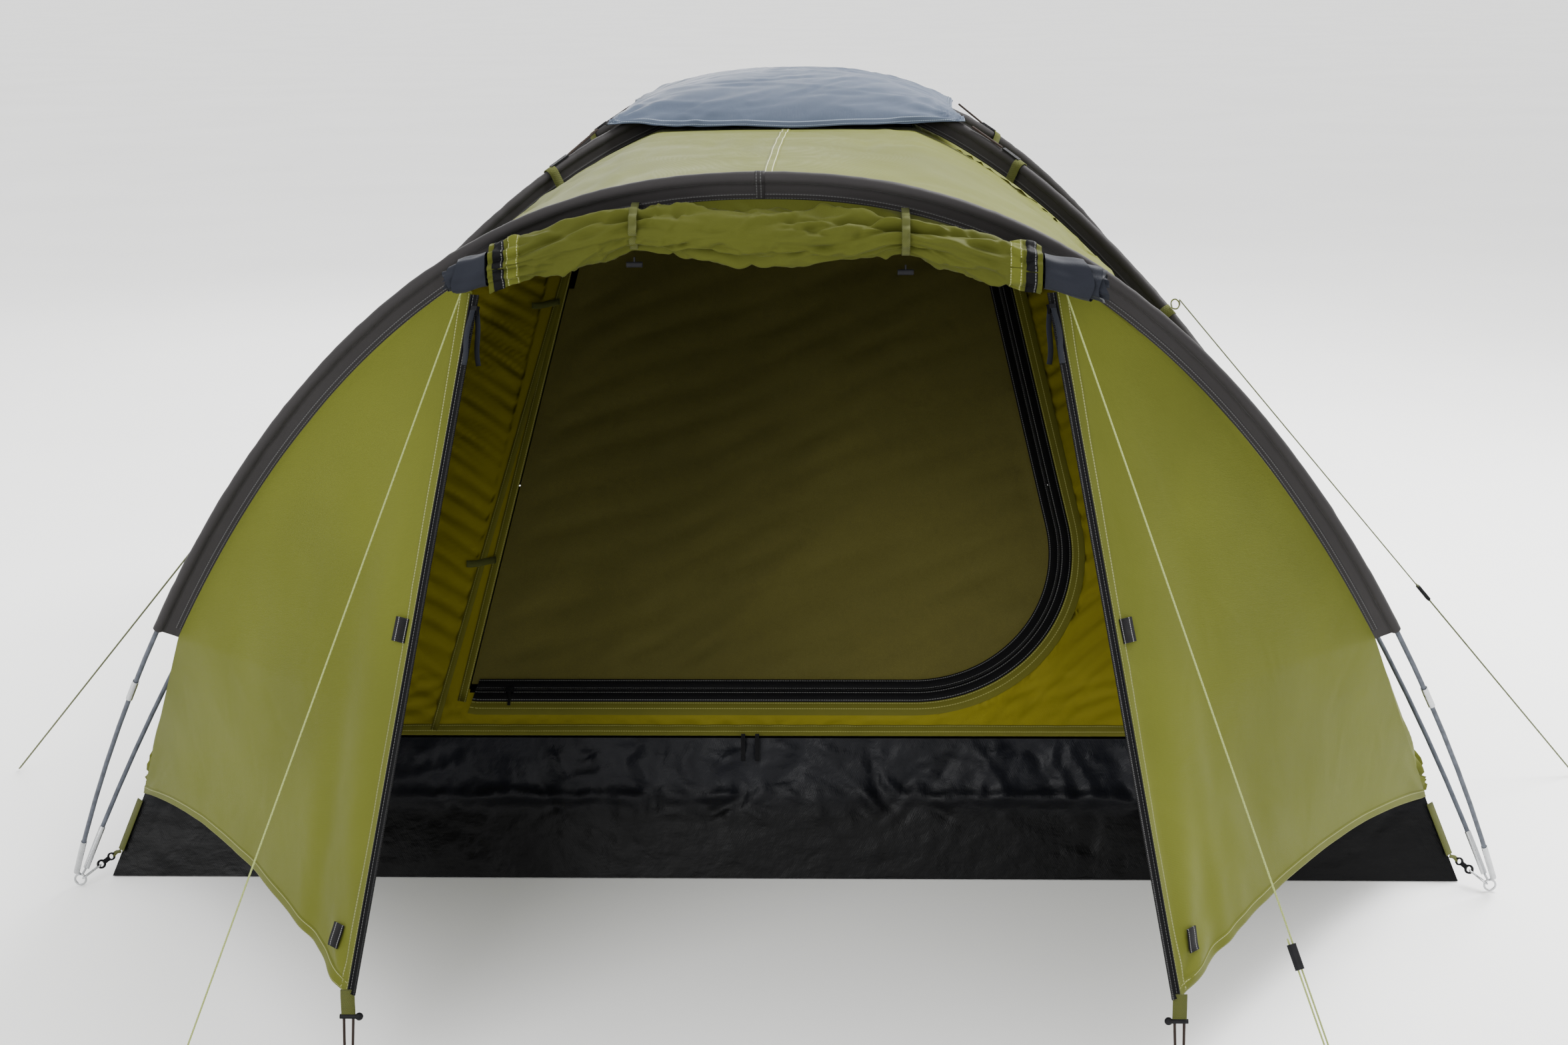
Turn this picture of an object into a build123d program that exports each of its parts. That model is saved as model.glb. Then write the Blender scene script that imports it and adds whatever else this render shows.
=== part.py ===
from build123d import *
from math import asin, cos, degrees, hypot, radians, sin
import os

# Dome tent with a porch.  Millimetres, +Z up, +X right, -Y towards the porch.
# The origin is on the ground at the middle of the rectangle of the four pole feet.

os.makedirs("parts", exist_ok=True)

# ---- driving dimensions ----------------------------------------------------------------
foot_x = 1195.0             # half the distance between the pole feet, side to side
foot_y = 1050.0             # half the distance between the pole feet, front to back
dome_rise = 1285.0          # height of the lower main pole's centre line at the crossing
dome_power = 2.09           # roundness of the main poles
dome_shape = 0.93
arch_foot_x = 1206.0        # the arch pole stands beside the main pole's foot
arch_rise = 1242.0          # height of the front arch
arch_power = 2.27
arch_shape = 0.95
arch_lean = 451.0           # how far the arch's crown leans out over the porch

pole_radius = 3.95
pole_bore = 2.3
cord_core_radius = 1.5      # shock cord inside the poles
crossing_play = 0.6         # clear space between the main poles where they cross
crossing_lift = 2 * pole_radius + crossing_play
joint_ferrule_radius = 5.5
joint_ferrule_bore = 4.8
joint_ferrule_length = 40.0
sections_per_pole = 9
arcs_per_sleeve = 12        # arcs that stand for the curve from foot to foot
arcs_per_wall = 6

channel_half = 6.2          # inside half width of a sleeve's pole channel
cloth = 1.2                 # thickness of a sleeve's cloth
fin = 34.0                  # from the pole's centre line to the canopy seam
foot_inset = 26.0           # extra inset of the seam at the very foot
foot_inset_power = 12       # how late on its way down the seam takes that inset
sleeve_end_height = 500.0   # the arch sleeve stops here and the poles run bare below it
main_sleeve_end_height = 400.0
crossing_gap = 4.0          # degrees of sweep left open at the crown of each main sleeve

sheet_thickness = 2.4
tub_height = 230.0          # height of the groundsheet's walls
vent_height = 1207.0        # the roof mesh starts at this height
cover_span = 0.285          # half size of the top cover, as a share of the pole spread
cover_lift = 16.5
cover_rows = 10
vent_share = 0.985          # the roof mesh is this share of the size of the opening under the cover
vent_rows = 6
seam_gap = 3.0              # clear space between neighbouring cloth panels
seam_clear = 2.0            # clear space between a sleeve's fin and the canopy seam
webbing_thickness = 1.6

door_low = 82.0             # door outline, measured up the slope of the inner front wall
door_high = 1030.0
door_hinge_low_x = -541.0
door_hinge_high_x = -377.0
door_low_x = 545.0
door_high_x = 372.0
door_low_radius = 262.0
door_high_radius = 150.0
door_thickness = 2.0
zip_gap = 0.75
tape_width = 20.0
tape_thickness = 1.5

porch_corner = (575.0, -1750.0, 140.0)      # right-hand corner of the porch, with its mirror image
porch_edge_top = (408.0, -1462.0, 1080.0)   # where the door edge meets the arch
porch_hem_corner_height = 140.0
hem_rise = 48.0             # the hem is cut in a hollow curve between its corners
hem_bow = 0.3               # how far inwards that curve goes, as a share of its rise
side_zip_width = 14.0
side_zip_thickness = 1.6
ribbon_length = 78.0
ribbon_width = 10.0

roll_radius = 28.0
roll_front = -1524.0        # the rolled door hangs in this plane, just in front of the arch

cord_radius = 1.25
elastic_radius = 2.0
strand_gap = 6.0
front_peg = (795.0, -2050.0, 4.0)
side_peg = (1500.0, -500.0, 4.0)


# ---- helpers ---------------------------------------------------------------------------
class PoleArch:
    """A pole bent in one plane: a rounded arch from foot to foot, swept by an angle.

    The angle is 0 at the crown, -90 at the left foot and 90 at the right foot.
    """

    def __init__(self, base, across, up, half_span, rise, power, shape):
        across, up = Vector(*across), Vector(*up)
        self.plane = Plane(origin=base, x_dir=across, z_dir=across.cross(up))
        self.half_span = half_span
        self.rise = rise
        self.power = power
        self.shape = shape

    def raw(self, angle):
        reach = sin(radians(angle))
        height = max(0.0, 1 - abs(reach) ** self.power) ** self.shape
        return self.half_span * reach, self.rise * height

    def flat(self, angle, inset=0.0):
        """Point in the arch's own plane, moved inwards at right angles to the pole."""
        u, v = self.raw(angle)
        u0, v0 = self.raw(max(angle - 0.5, -90.0))
        u1, v1 = self.raw(min(angle + 0.5, 90.0))
        step = hypot(u1 - u0, v1 - v0)
        return u + inset * (v1 - v0) / step, v - inset * (u1 - u0) / step

    def point(self, angle, inset=0.0, side=0.0):
        u, v = self.flat(angle, inset)
        return self.plane.from_local_coords(Vector(u, v, side))

    def angle_at(self, height, inset=0.0):
        """Angle on the right-hand side where the line at this inset is at a height."""
        low, high = 0.0, 90.0
        for _ in range(40):
            middle = (low + high) / 2
            if self.point(middle, inset).Z > height:
                low = middle
            else:
                high = middle
        return low

    def even_angles(self, start, end, count):
        """Angles that cut the pole between start and end into equal lengths."""
        steps = 360
        angles = [start + (end - start) * i / steps for i in range(steps + 1)]
        lengths = [0.0]
        for a, b in zip(angles, angles[1:]):
            lengths.append(lengths[-1] + (self.point(b) - self.point(a)).length)
        chosen = []
        for i in range(count + 1):
            wanted = lengths[-1] * i / count
            chosen.append(next(a for a, s in zip(angles, lengths) if s >= wanted - 1e-6))
        return chosen

    def arc(self, start, end, inset=0.0):
        middle = (start + end) / 2
        ends = [self.flat(a, inset) for a in (start, middle, end)]
        return ThreePointArc(*ends)


spread = hypot(foot_x, foot_y)
share_x = foot_x / spread
share_y = foot_y / spread
arch_slope = hypot(arch_lean, arch_rise) / arch_rise

main_a = PoleArch((0, 0, 0), (share_x, share_y, 0), (0, 0, 1), spread, dome_rise, dome_power, dome_shape)
main_b = PoleArch((0, 0, 0), (share_x, -share_y, 0), (0, 0, 1), spread,
                  dome_rise + crossing_lift, dome_power, dome_shape)
front_arch = PoleArch((0, -foot_y, 0), (1, 0, 0), (0, -arch_lean, arch_rise), arch_foot_x,
                      arch_rise * arch_slope, arch_power, arch_shape)


def save(solids, name):
    """Write one node: a list of separate solids, or a single one."""
    solids = solids if isinstance(solids, list) else [solids]
    pieces = [piece for solid in solids for piece in solid.solids()]
    export_step(Compound(children=pieces) if len(pieces) > 1 else pieces[0], f"parts/{name}.step")


def both_sides(right):
    return {"right": right, "left": mirror(right, about=Plane.YZ)}


def blend(a, b, share):
    return a + (b - a) * share


def rod(start, end, radius):
    start, end = Vector(*start), Vector(*end)
    plane = Plane(origin=start, z_dir=end - start)
    return extrude(plane * Circle(radius), amount=(end - start).length)


def bar(start, end, side, width, thickness):
    """A straight strap from start to end, its width along side."""
    start, end = Vector(*start), Vector(*end)
    along = (end - start).normalized()
    side = Vector(*side)
    side = (side - along * side.dot(along)).normalized()
    plane = Plane(origin=start, x_dir=side, z_dir=along)
    return extrude(plane * Rectangle(width, thickness), amount=(end - start).length)


def eye(centre, normal, outer, inner, thickness):
    plane = Plane(origin=centre, z_dir=normal)
    return extrude(plane * (Circle(outer) - Circle(inner)), amount=thickness / 2, both=True)


def triangles(a, b, c, d):
    corners = ((a, b, c), (a, c, d))
    return [Face(Wire.make_polygon(list(three), close=True)) for three in corners]


def sheet(point, rows, columns, step):
    """A thin closed solid of flat facets over point(u, v); step leads to its far face."""
    step = Vector(*step)
    near = [[Vector(*point(i / rows, j / columns)) for j in range(columns + 1)]
            for i in range(rows + 1)]
    far = [[corner + step for corner in row] for row in near]
    faces = []
    for i in range(rows):
        for j in range(columns):
            for grid in (near, far):
                faces += triangles(grid[i][j], grid[i + 1][j], grid[i + 1][j + 1], grid[i][j + 1])
    for i in range(rows):
        for j in (0, columns):
            faces += triangles(near[i][j], near[i + 1][j], far[i + 1][j], far[i][j])
    for j in range(columns):
        for i in (0, rows):
            faces += triangles(near[i][j], near[i][j + 1], far[i][j + 1], far[i][j])
    return Solid(Shell(faces))


def tube_path(points, radii):
    return FilletPolyline(*points, radius=radii)


def cord(points, radii, radius):
    """A round cord along straight runs joined by tangent arcs."""
    path = tube_path(points, radii)
    section = Plane(origin=path @ 0, z_dir=path % 0) * Circle(radius)
    return sweep(section, path=path)


# ---- poles -----------------------------------------------------------------------------
pole_end_height = 36.0


def pole_angles(arch, count):
    end = arch.angle_at(pole_end_height)
    return arch.even_angles(-end, end, count)


def swept(arch, start, end, outer, inner=0.0):
    path = arch.plane * arch.arc(start, end)
    ring = Circle(outer) - Circle(inner) if inner else Circle(outer)
    return sweep(Plane(origin=path @ 0, z_dir=path % 0) * ring, path=path)


def pole_sections(arch, outer, inner=0.0):
    """Nine sections, each bent to its own arc, with a hair between neighbours."""
    hair = 0.02
    angles = pole_angles(arch, sections_per_pole)
    return [swept(arch, a + hair, b - hair, outer, inner) for a, b in zip(angles, angles[1:])]


def joint_ferrules(arch):
    """A steel tube over each joint between two sections."""
    tubes = []
    angles = pole_angles(arch, sections_per_pole)
    paths = [arch.plane * arch.arc(a, b) for a, b in zip(angles, angles[1:])]
    ring = Circle(joint_ferrule_radius) - Circle(joint_ferrule_bore)
    for before, after in zip(paths, paths[1:]):
        along = ((before % 1) + (after % 0)).normalized()
        plane = Plane(origin=(before @ 1) - along * joint_ferrule_length / 2, z_dir=along)
        tubes.append(extrude(plane * ring, amount=joint_ferrule_length))
    return tubes


# ---- pole feet and corner fixings ------------------------------------------------------
foot_ferrule_length = 66.0
foot_overhang = 9.0
pin_height = 20.0            # where the feet's lines are measured above a ring
foot_ferrule_outer = 5.1
foot_ferrule_inner = 4.5
ring_centre_height = 11.0
ring_outer = 11.0
ring_inner = 7.6
ring_thickness = 3.2
ring_rounding = 1.0
link_wire = 1.4
link_bend = 4.2
link_length = 30.0
hook_thickness = 3.6
hook_eye_outer = 8.0
hook_eye_inner = 4.5
hook_spacing = 22.0
hook_neck_width = 8.0
hook_tip_outer = 7.0
hook_tip_inner = 4.0
pin_radius = 2.0
plug_radius = 3.6            # the pin's head inside the foot's ferrule
plug_length = 8.0
pin_lean_limit = 4.0
corner_tape_low = 44.0       # the tape runs up the groundsheet's corner from here
rear_tape_top = 195.0
front_tape_top = 126.0
corner_tape_width = 20.0
corner_tape_out = 3.4
corner_tail_width = 8.0
corner_tail_out = 4.9
corner_tail_reach = 10.4     # from the hook's upper eye to the start of the tail
hook_lead = (52.0, 70.0, 30.0)      # from the ring towards the groundsheet's corner


def foot_line(arch, right):
    """The end of a pole near the ground and the way up the pole from there."""
    angles = pole_angles(arch, sections_per_pole)
    a, b = (angles[-1], angles[-2]) if right else (angles[0], angles[1])
    pole = arch.plane * arch.arc(a, b)
    return pole @ 0, pole % 0


def foot_ferrule(arch, right):
    """A steel tube that carries on past the pole's end, bent with its last section."""
    angles = pole_angles(arch, sections_per_pole)
    a, b = (angles[-1], angles[-2]) if right else (angles[0], angles[1])
    pole = arch.plane * arch.arc(a, b)
    share = foot_ferrule_length / pole.length
    low, along = pole @ 0, pole % 0
    ring = Circle(foot_ferrule_outer) - Circle(foot_ferrule_inner)
    path = ThreePointArc(low, pole @ (share / 2), pole @ share)
    tube = sweep(Plane(origin=low, z_dir=along) * ring, path=path)
    return tube + extrude(Plane(origin=low, z_dir=along * -1) * ring, amount=foot_overhang)


def corner_ring(centre, feet):
    """A flat steel eye with one pin up into each pole foot that stands on it."""
    ring = fillet(eye(centre, (0, 1, 0), ring_outer, ring_inner, ring_thickness).edges(), ring_rounding)
    for low, along in feet:
        lean = max(-pin_lean_limit, min(pin_lean_limit, low.X - centre.X))
        pin_from = centre + Vector(lean, 0, ring_outer - ring_thickness / 2 - 0.2)
        ring += rod(pin_from, low - along * (plug_length - 1.0), pin_radius)
        ring += rod(low - along * plug_length, low - along * 1.0, plug_radius)
    return ring


def ring_place(feet):
    """A ring stands under the middle of its feet's lines."""
    bases = [low - along * ((low.Z - pin_height) / along.Z) for low, along in feet]
    middle = sum(bases, Vector()) * (1 / len(bases))
    return Vector(middle.X, middle.Y, ring_centre_height)


def corner_axes(side_x, side_y):
    """Directions at a corner: out along the ring, towards the tent, and across both."""
    lead = Vector(-side_x * hook_lead[0], -side_y * hook_lead[1], hook_lead[2]).normalized()
    out = Vector(-side_x * hook_lead[0], 0, hook_lead[2]).normalized()
    across = out.cross(Vector(0, -side_y, 0)).normalized()
    return lead, out, across


def link_path(start, lead, across):
    plane = Plane(origin=start, x_dir=lead, z_dir=across)
    line = Line((0, -link_bend), (link_length, -link_bend))
    line += ThreePointArc((link_length, -link_bend), (link_length + link_bend, 0), (link_length, link_bend))
    line += Line((link_length, link_bend), (0, link_bend))
    line += ThreePointArc((0, link_bend), (-link_bend, 0), (0, -link_bend))
    return plane * line


def corner_link(start, lead, across):
    path = link_path(start, lead, across)
    return sweep(Plane(origin=path @ 0, z_dir=path % 0) * Circle(link_wire), path=path)


def corner_hook(start, lead, across):
    """A flat plastic hook with a lower eye for the link and an upper eye for the webbing."""
    normal = lead.cross(across).normalized()
    lower = start + lead * ((hook_eye_outer + hook_eye_inner) / 2)
    plane = Plane(origin=lower, x_dir=lead, z_dir=normal)
    shape = Circle(hook_eye_outer) + Pos(hook_spacing, 0) * Circle(hook_tip_outer)
    shape += Pos(hook_spacing / 2, 0) * Rectangle(hook_spacing, hook_neck_width)
    shape -= Circle(hook_eye_inner)
    shape -= Pos(hook_spacing, 0) * Circle(hook_tip_inner)
    return extrude(plane * shape, amount=hook_thickness / 2, both=True)


def corner_set(side_x, side_y):
    """Ring, link, hook and webbing of one corner, with the pole feet on its ring."""
    main = main_a if side_x * side_y > 0 else main_b
    feet = [foot_line(main, side_x > 0)]
    if side_y < 0:
        feet.append(foot_line(front_arch, side_x > 0))
    centre = ring_place(feet)
    lead, out, across = corner_axes(side_x, side_y)
    rim = centre + out * ((ring_outer + ring_inner) / 2)
    link_end = rim + lead * link_length
    tip = link_end + lead * ((hook_eye_outer + hook_eye_inner) / 2 + hook_spacing + corner_tail_reach)
    return (corner_ring(centre, feet), corner_link(rim, lead, across),
            corner_hook(link_end, lead, across), corner_webbing(side_x, side_y, tip))


def corner_webbing(side_x, side_y, tip):
    """A tape up the groundsheet's corner and its tail down to the hook at tip."""
    outward = Vector(side_x * share_x, side_y * share_y, 0)
    low = tub_corner(side_x, side_y, corner_tape_low)
    high = tub_corner(side_x, side_y, rear_tape_top if side_y > 0 else front_tape_top)
    lift = outward * corner_tape_out
    tape = bar(low + lift, high + lift, across_of(outward), corner_tape_width, webbing_thickness)
    return tape + bar(tip, low + outward * corner_tail_out, across_of(outward),
                      corner_tail_width, webbing_thickness)


def across_of(outward):
    return Vector(-outward.Y, outward.X, 0)


# ---- seams, sleeves --------------------------------------------------------------------
def seam_inset(angle):
    return fin + foot_inset * abs(sin(radians(angle))) ** foot_inset_power


def seam(angle, depth=0.0):
    """Canopy seam of a main pole: distance from the tent's axis, and height."""
    u, v = main_a.flat(abs(angle), seam_inset(angle) + depth)
    return u, v


def seam_angle(height):
    low, high = 0.0, 90.0
    for _ in range(40):
        middle = (low + high) / 2
        low, high = (middle, high) if seam(middle)[1] > height else (low, middle)
    return low


def tub_corner(side_x, side_y, height):
    reach = blend(seam(90.0)[0], seam(seam_angle(tub_height))[0], height / tub_height)
    return Vector(side_x * share_x * reach, side_y * share_y * reach, height)


def band(arch, angles, inner, outer, low, high):
    """A strip beside the pole between two insets, from side low to side high."""
    pairs = list(zip(angles, angles[1:]))
    edges = [arch.arc(a, b, inner) for a, b in pairs]
    edges += [arch.arc(a, b, outer) for a, b in pairs]
    edges += [Line(arch.flat(a, inner), arch.flat(a, outer)) for a in (angles[0], angles[-1])]
    face = Plane.XY.offset(low) * make_face(edges)
    return arch.plane * extrude(face, amount=high - low)


def sleeve(arch, start, end, count):
    """A pole channel with a fin of doubled cloth down to the canopy seam."""
    angles = arch.even_angles(start, end, count)
    wall = channel_half + cloth
    channel = band(arch, angles, wall, -wall, -wall, wall)
    channel -= band(arch, angles, channel_half, -channel_half, -channel_half, channel_half)
    return channel + band(arch, angles, fin - seam_clear, wall, -cloth, cloth)


def main_sleeve(arch):
    end = arch.angle_at(main_sleeve_end_height)
    half = arcs_per_sleeve // 2
    return [sleeve(arch, -end, -crossing_gap, half), sleeve(arch, crossing_gap, end, half)]


# ---- dome ------------------------------------------------------------------------------
low_angle = seam_angle(tub_height)
vent_angle = seam_angle(vent_height)


def wedge(far_x, far_y):
    """The quarter of the ground on the +X side, between the tent's two diagonals."""
    corners = [(seam_gap, 0), (far_x, far_y - seam_gap), (far_x, -far_y + seam_gap)]
    return extrude(make_face(Polyline(*corners, close=True)), amount=dome_rise)


def vault_wall(share, across_share):
    """A curved wall facing +X, cut off by the tent's diagonals."""
    angles = main_a.even_angles(vent_angle, low_angle, arcs_per_wall)
    rows = []
    for depth in (0.0, sheet_thickness):
        rows.append([ThreePointArc(*[(seam(t, depth)[0] * share, seam(t, depth)[1])
                                     for t in (a, (a + b) / 2, b)]) for a, b in zip(angles, angles[1:])])
    ends = [Line(rows[0][0] @ 0, rows[1][0] @ 0), Line(rows[0][-1] @ 1, rows[1][-1] @ 1)]
    profile = Plane.XZ * make_face(rows[0] + rows[1] + ends)
    wall = extrude(profile, amount=spread * across_share, both=True)
    return wall & wedge(spread * share, spread * across_share)


def groundsheet():
    low, high = seam(90.0)[0], seam(low_angle)[0]

    def frame_at(height, shrink):
        reach = blend(low, high, height / tub_height)
        size = (2 * (reach * share_x - shrink), 2 * (reach * share_y - shrink))
        return Plane.XY.offset(height) * Rectangle(*size)

    top = tub_height - seam_gap
    outside = loft([frame_at(0, 0), frame_at(top, 0)])
    above = top + tub_height / 10
    return outside - loft([frame_at(sheet_thickness, sheet_thickness), frame_at(above, sheet_thickness)])


def pavilion(reach, lift, share, rows):
    """A shallow four-sided cap over the crossing, following the poles' curve."""
    sharpness = 8.0

    def point(u, v):
        p, q = 2 * u - 1, 2 * v - 1
        ridge = ((abs(p) ** sharpness + abs(q) ** sharpness) / 2) ** (1 / sharpness)
        angle = degrees(asin(min(1.0, ridge * reach / spread)))
        x, y = p * reach * share_x * share, q * reach * share_y * share
        return x, y, main_a.flat(angle)[1] + lift

    return sheet(point, rows, rows, (0, 0, -sheet_thickness / 2))


# ---- inner front wall and its door -----------------------------------------------------
wall_low_y = -seam(low_angle)[0] * share_y
wall_high_y = -seam(vent_angle)[0] * share_y
wall_rise = Vector(0, wall_high_y - wall_low_y, vent_height - tub_height)
door_plane = Plane(origin=(0, wall_low_y, tub_height), x_dir=(1, 0, 0),
                   z_dir=Vector(1, 0, 0).cross(wall_rise))
flat_share = 0.80           # the wall is flat out to this share of its half width
wall_end_gap = 5.0
front_wall_rows, front_wall_columns = 8, 20
door_corner_radius = 12.0
hinge_clear = 60.0          # the outline of the hinge zone runs this far past the door
main_wall_side = -900.0


def front_wall_point(u, v):
    """u runs up the wall, v from left to right; the wall is flat in the middle."""
    height = blend(tub_height + seam_gap, vent_height - seam_gap, u)
    reach, _ = seam(seam_angle(height), seam_gap + 1.0)
    share = 2 * v - 1
    edge = min(1.0, max(0.0, (abs(share) - flat_share) / (1 - flat_share)))
    flat_y = blend(wall_low_y, wall_high_y, (height - tub_height) / (vent_height - tub_height))
    y = blend(flat_y, -reach * share_y, edge * edge)
    return share * (reach * share_x - wall_end_gap), y, height


def door_outline(grow):
    corners = [(door_hinge_low_x, door_low), (door_low_x, door_low),
               (door_high_x, door_high), (door_hinge_high_x, door_high)]
    radii = [door_corner_radius, door_low_radius, door_high_radius, door_corner_radius]
    face = make_face(FilletPolyline(*corners, radius=radii, close=True))
    return offset(face, amount=grow) if grow else face


hinge_lean = (door_hinge_high_x - door_hinge_low_x) / (door_high - door_low)


def hinge_zone():
    """Everything left of the hinge line, and a strip beside it that has no zip."""
    strip = 4.0
    corners = [(door_hinge_low_x + strip, door_low), (door_hinge_high_x + strip, door_high)]
    low = (corners[0][0] - hinge_lean * hinge_clear, door_low - hinge_clear)
    high = (corners[1][0] + hinge_lean * hinge_clear, door_high + hinge_clear)
    far_high, far_low = (main_wall_side, high[1]), (main_wall_side, low[1])
    return make_face(Polyline(low, high, far_high, far_low, close=True))


def on_wall(face, low, high):
    """Extrude a flat outline on the wall from height low to high above its front face."""
    return extrude(door_plane.offset(low) * face, amount=high - low)


def inner_front_wall():
    # The far face is behind the near one, so the sheet's front face is the wall's plane.
    wall = sheet(front_wall_point, front_wall_rows, front_wall_columns, (0, sheet_thickness, 0))
    return wall - on_wall(door_outline(zip_gap), -tape_width, tape_width)


def inner_door():
    return on_wall(door_outline(-zip_gap), -door_thickness, 0.0)


def door_tapes():
    free = hinge_zone()
    wall_side = door_outline(tape_width) - door_outline(zip_gap) - free
    door_side = door_outline(-zip_gap) - door_outline(-tape_width) - free
    return on_wall(wall_side, 0.0, tape_thickness), on_wall(door_side, 0.0, tape_thickness)


inner_slider_x = -470.0
inner_slider_size = (14.0, 9.0)
inner_slider_height = 4.0
pull_tab_size = (5.0, 24.0)
pull_tab_drop = 16.0
pull_tab_low = 1.6
pull_tab_thickness = 1.4
tie_tab_heights = (320.0, 835.0)
tie_tab_size = (52.0, 14.0)
tie_tab_out = 0.5
tie_tab_thickness = 2.0
tie_tab_from_hinge = 34.0
sill_strap_places = {"left": -62.0, "right": -38.0}
sill_strap_width = 7.0
sill_strap_reach = (0, -13.0, -46.0)


def inner_slider():
    """Slider of the door's zip, over both tapes on its bottom run, with a short pull tab."""
    body = Pos(inner_slider_x, door_low) * Rectangle(*inner_slider_size)
    tab = Pos(inner_slider_x, door_low - pull_tab_drop) * Rectangle(*pull_tab_size)
    low = tape_thickness + 0.4
    metal = on_wall(body, low, low + inner_slider_height)
    return metal + on_wall(tab, low + pull_tab_low, low + pull_tab_low + pull_tab_thickness)


def tie_tabs():
    tabs = []
    for up in tie_tab_heights:
        x = door_hinge_low_x + hinge_lean * (up - door_low) - tie_tab_from_hinge
        shape = Pos(x, up) * Rectangle(*tie_tab_size)
        tabs.append(on_wall(shape, tie_tab_out, tie_tab_out + tie_tab_thickness))
    return tabs


def sill_strap(x):
    top = Vector(x, wall_low_y - 9.0, tub_height + 8.0)
    return bar(top, top + Vector(*sill_strap_reach), (1, 0, 0), sill_strap_width, webbing_thickness)


# ---- porch -----------------------------------------------------------------------------
panel_top_x = 450.0         # the panel's top corner on the arch's seam
edge_top = Vector(*porch_edge_top)
edge_foot = Vector(*porch_corner)
arch_start = degrees(asin(panel_top_x / arch_foot_x))
arch_end = front_arch.angle_at(sleeve_end_height, fin)
hem_angle = seam_angle(porch_hem_corner_height)
hem_corner_in = 2.0         # the hem's rear corner, from the main pole's seam
hem_corner_forward = 9.0
hem_corner = Vector(seam(hem_angle)[0] * share_x - hem_corner_in,
                    -seam(hem_angle)[0] * share_y - hem_corner_forward, porch_hem_corner_height)
panel_rows, panel_columns = 10, 8
seam_share = 0.62           # share of the rear edge that follows the arch


def porch_rear_edge(share):
    """Down the arch's seam, then straight to the hem's rear corner."""
    if share <= seam_share:
        return front_arch.point(blend(arch_start, arch_end, share / seam_share), fin)
    return blend(front_arch.point(arch_end, fin), hem_corner, (share - seam_share) / (1 - seam_share))


def porch_panel_point(u, v):
    """u runs down the panel, v from the door edge to the rear edge."""
    front = blend(edge_top, edge_foot, u)
    rear = porch_rear_edge(u) + Vector(0, -seam_gap, 0)
    sag = hem_rise * 4 * v * (1 - v) * u ** 4
    point = blend(front, rear, v) + Vector(0, hem_bow * sag, sag)
    return point.X, point.Y, point.Z


def porch_panel():
    return sheet(porch_panel_point, panel_rows, panel_columns, (0, sheet_thickness, 0))


roof_gap = 4.0              # from the porch roof's rear edge to the main poles' seams
roof_end_trim = 1.5         # degrees of sweep left clear at each end
roof_rows, roof_columns = 30, 3


def roof_rear(angle):
    """Rear edge of the porch roof: along the main poles' seams and across the top."""
    reach, height = seam(max(abs(angle), vent_angle))
    side = 1 if angle > 0 else -1
    if abs(angle) < vent_angle:
        x = angle / vent_angle * reach * share_x
        return Vector(x, -reach * share_y - roof_gap, height + roof_gap / 2)
    x = side * (reach * share_x - roof_gap * share_y)
    return Vector(x, -reach * share_y - roof_gap * share_x, height)


def roof_front(angle):
    """Front edge of the porch roof: the arch's seam, then straight to the hem's corner."""
    size = abs(angle)
    side = 1 if angle > 0 else -1
    if size <= arch_end:
        return front_arch.point(angle, fin) + Vector(0, seam_gap, 0)
    share = (size - arch_end) / (hem_angle - arch_end)
    point = blend(front_arch.point(arch_end, fin), hem_corner, share) + Vector(0, seam_gap, 0)
    return Vector(side * point.X, point.Y, point.Z)


def porch_roof():
    limit = hem_angle - roof_end_trim

    def point(u, v):
        angle = blend(-limit, limit, u)
        place = blend(roof_rear(angle), roof_front(angle), v)
        return place.X, place.Y, place.Z

    return sheet(point, roof_rows, roof_columns, (0, 0, -sheet_thickness))


def edge_frame():
    """Along the door edge, towards the opening, and out of the cloth."""
    along = (edge_foot - edge_top).normalized()
    inside = edge_top + (edge_foot - edge_top) * 0.4
    panel = Vector(*porch_panel_point(0.4, 0.1))
    towards = inside - panel
    towards = (towards - along * towards.dot(along)).normalized()
    outward = towards.cross(along).normalized()
    outward = outward if outward.Y < 0 else outward * -1
    return along, towards, outward


def edge_point(distance, towards_opening, out=0.0):
    along, towards, outward = edge_frame()
    return edge_top + along * distance + towards * towards_opening + outward * out


side_zip_start = 12.0
side_zip_trim = 6.0
slider_play = 0.5
slider_wall = 1.6
slider_start = 20.0
slider_length = 13.0
slider_width = 12.0
slider_middle = 11.0        # from the cloth's edge, towards the opening
slot_middle = 9.0


def side_zip():
    length = (edge_foot - edge_top).length
    _, towards, _ = edge_frame()
    middle = side_zip_width / 2 + 1.0
    return bar(edge_point(side_zip_start, middle), edge_point(length - side_zip_trim, middle), towards,
               side_zip_width, side_zip_thickness)


def side_slider():
    """A channel of metal round the zip's free edge."""
    along, towards, _ = edge_frame()
    plane = Plane(origin=edge_point(slider_start, 0.0), x_dir=towards, z_dir=along)
    inside = side_zip_thickness / 2 + slider_play
    shape = Pos(slider_middle, 0) * Rectangle(slider_width, 2 * (inside + slider_wall))
    reach = side_zip_width + 1.0 + slider_play - slot_middle
    shape -= Pos(slot_middle, 0) * Rectangle(2 * reach, 2 * inside)
    return extrude(plane * shape, amount=slider_length)


ribbon_pivot = slider_start + slider_length / 2
ribbon_thickness = 1.2
ribbon_out = side_zip_thickness / 2 + slider_play + slider_wall + ribbon_thickness


def outer_ribbon():
    """Lies down the outside of the zip."""
    _, towards, _ = edge_frame()
    start = edge_point(ribbon_pivot, slider_middle, ribbon_out)
    end = edge_point(ribbon_pivot + ribbon_length, slider_middle, ribbon_out)
    return bar(start, end, towards, ribbon_width, ribbon_thickness)


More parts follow.
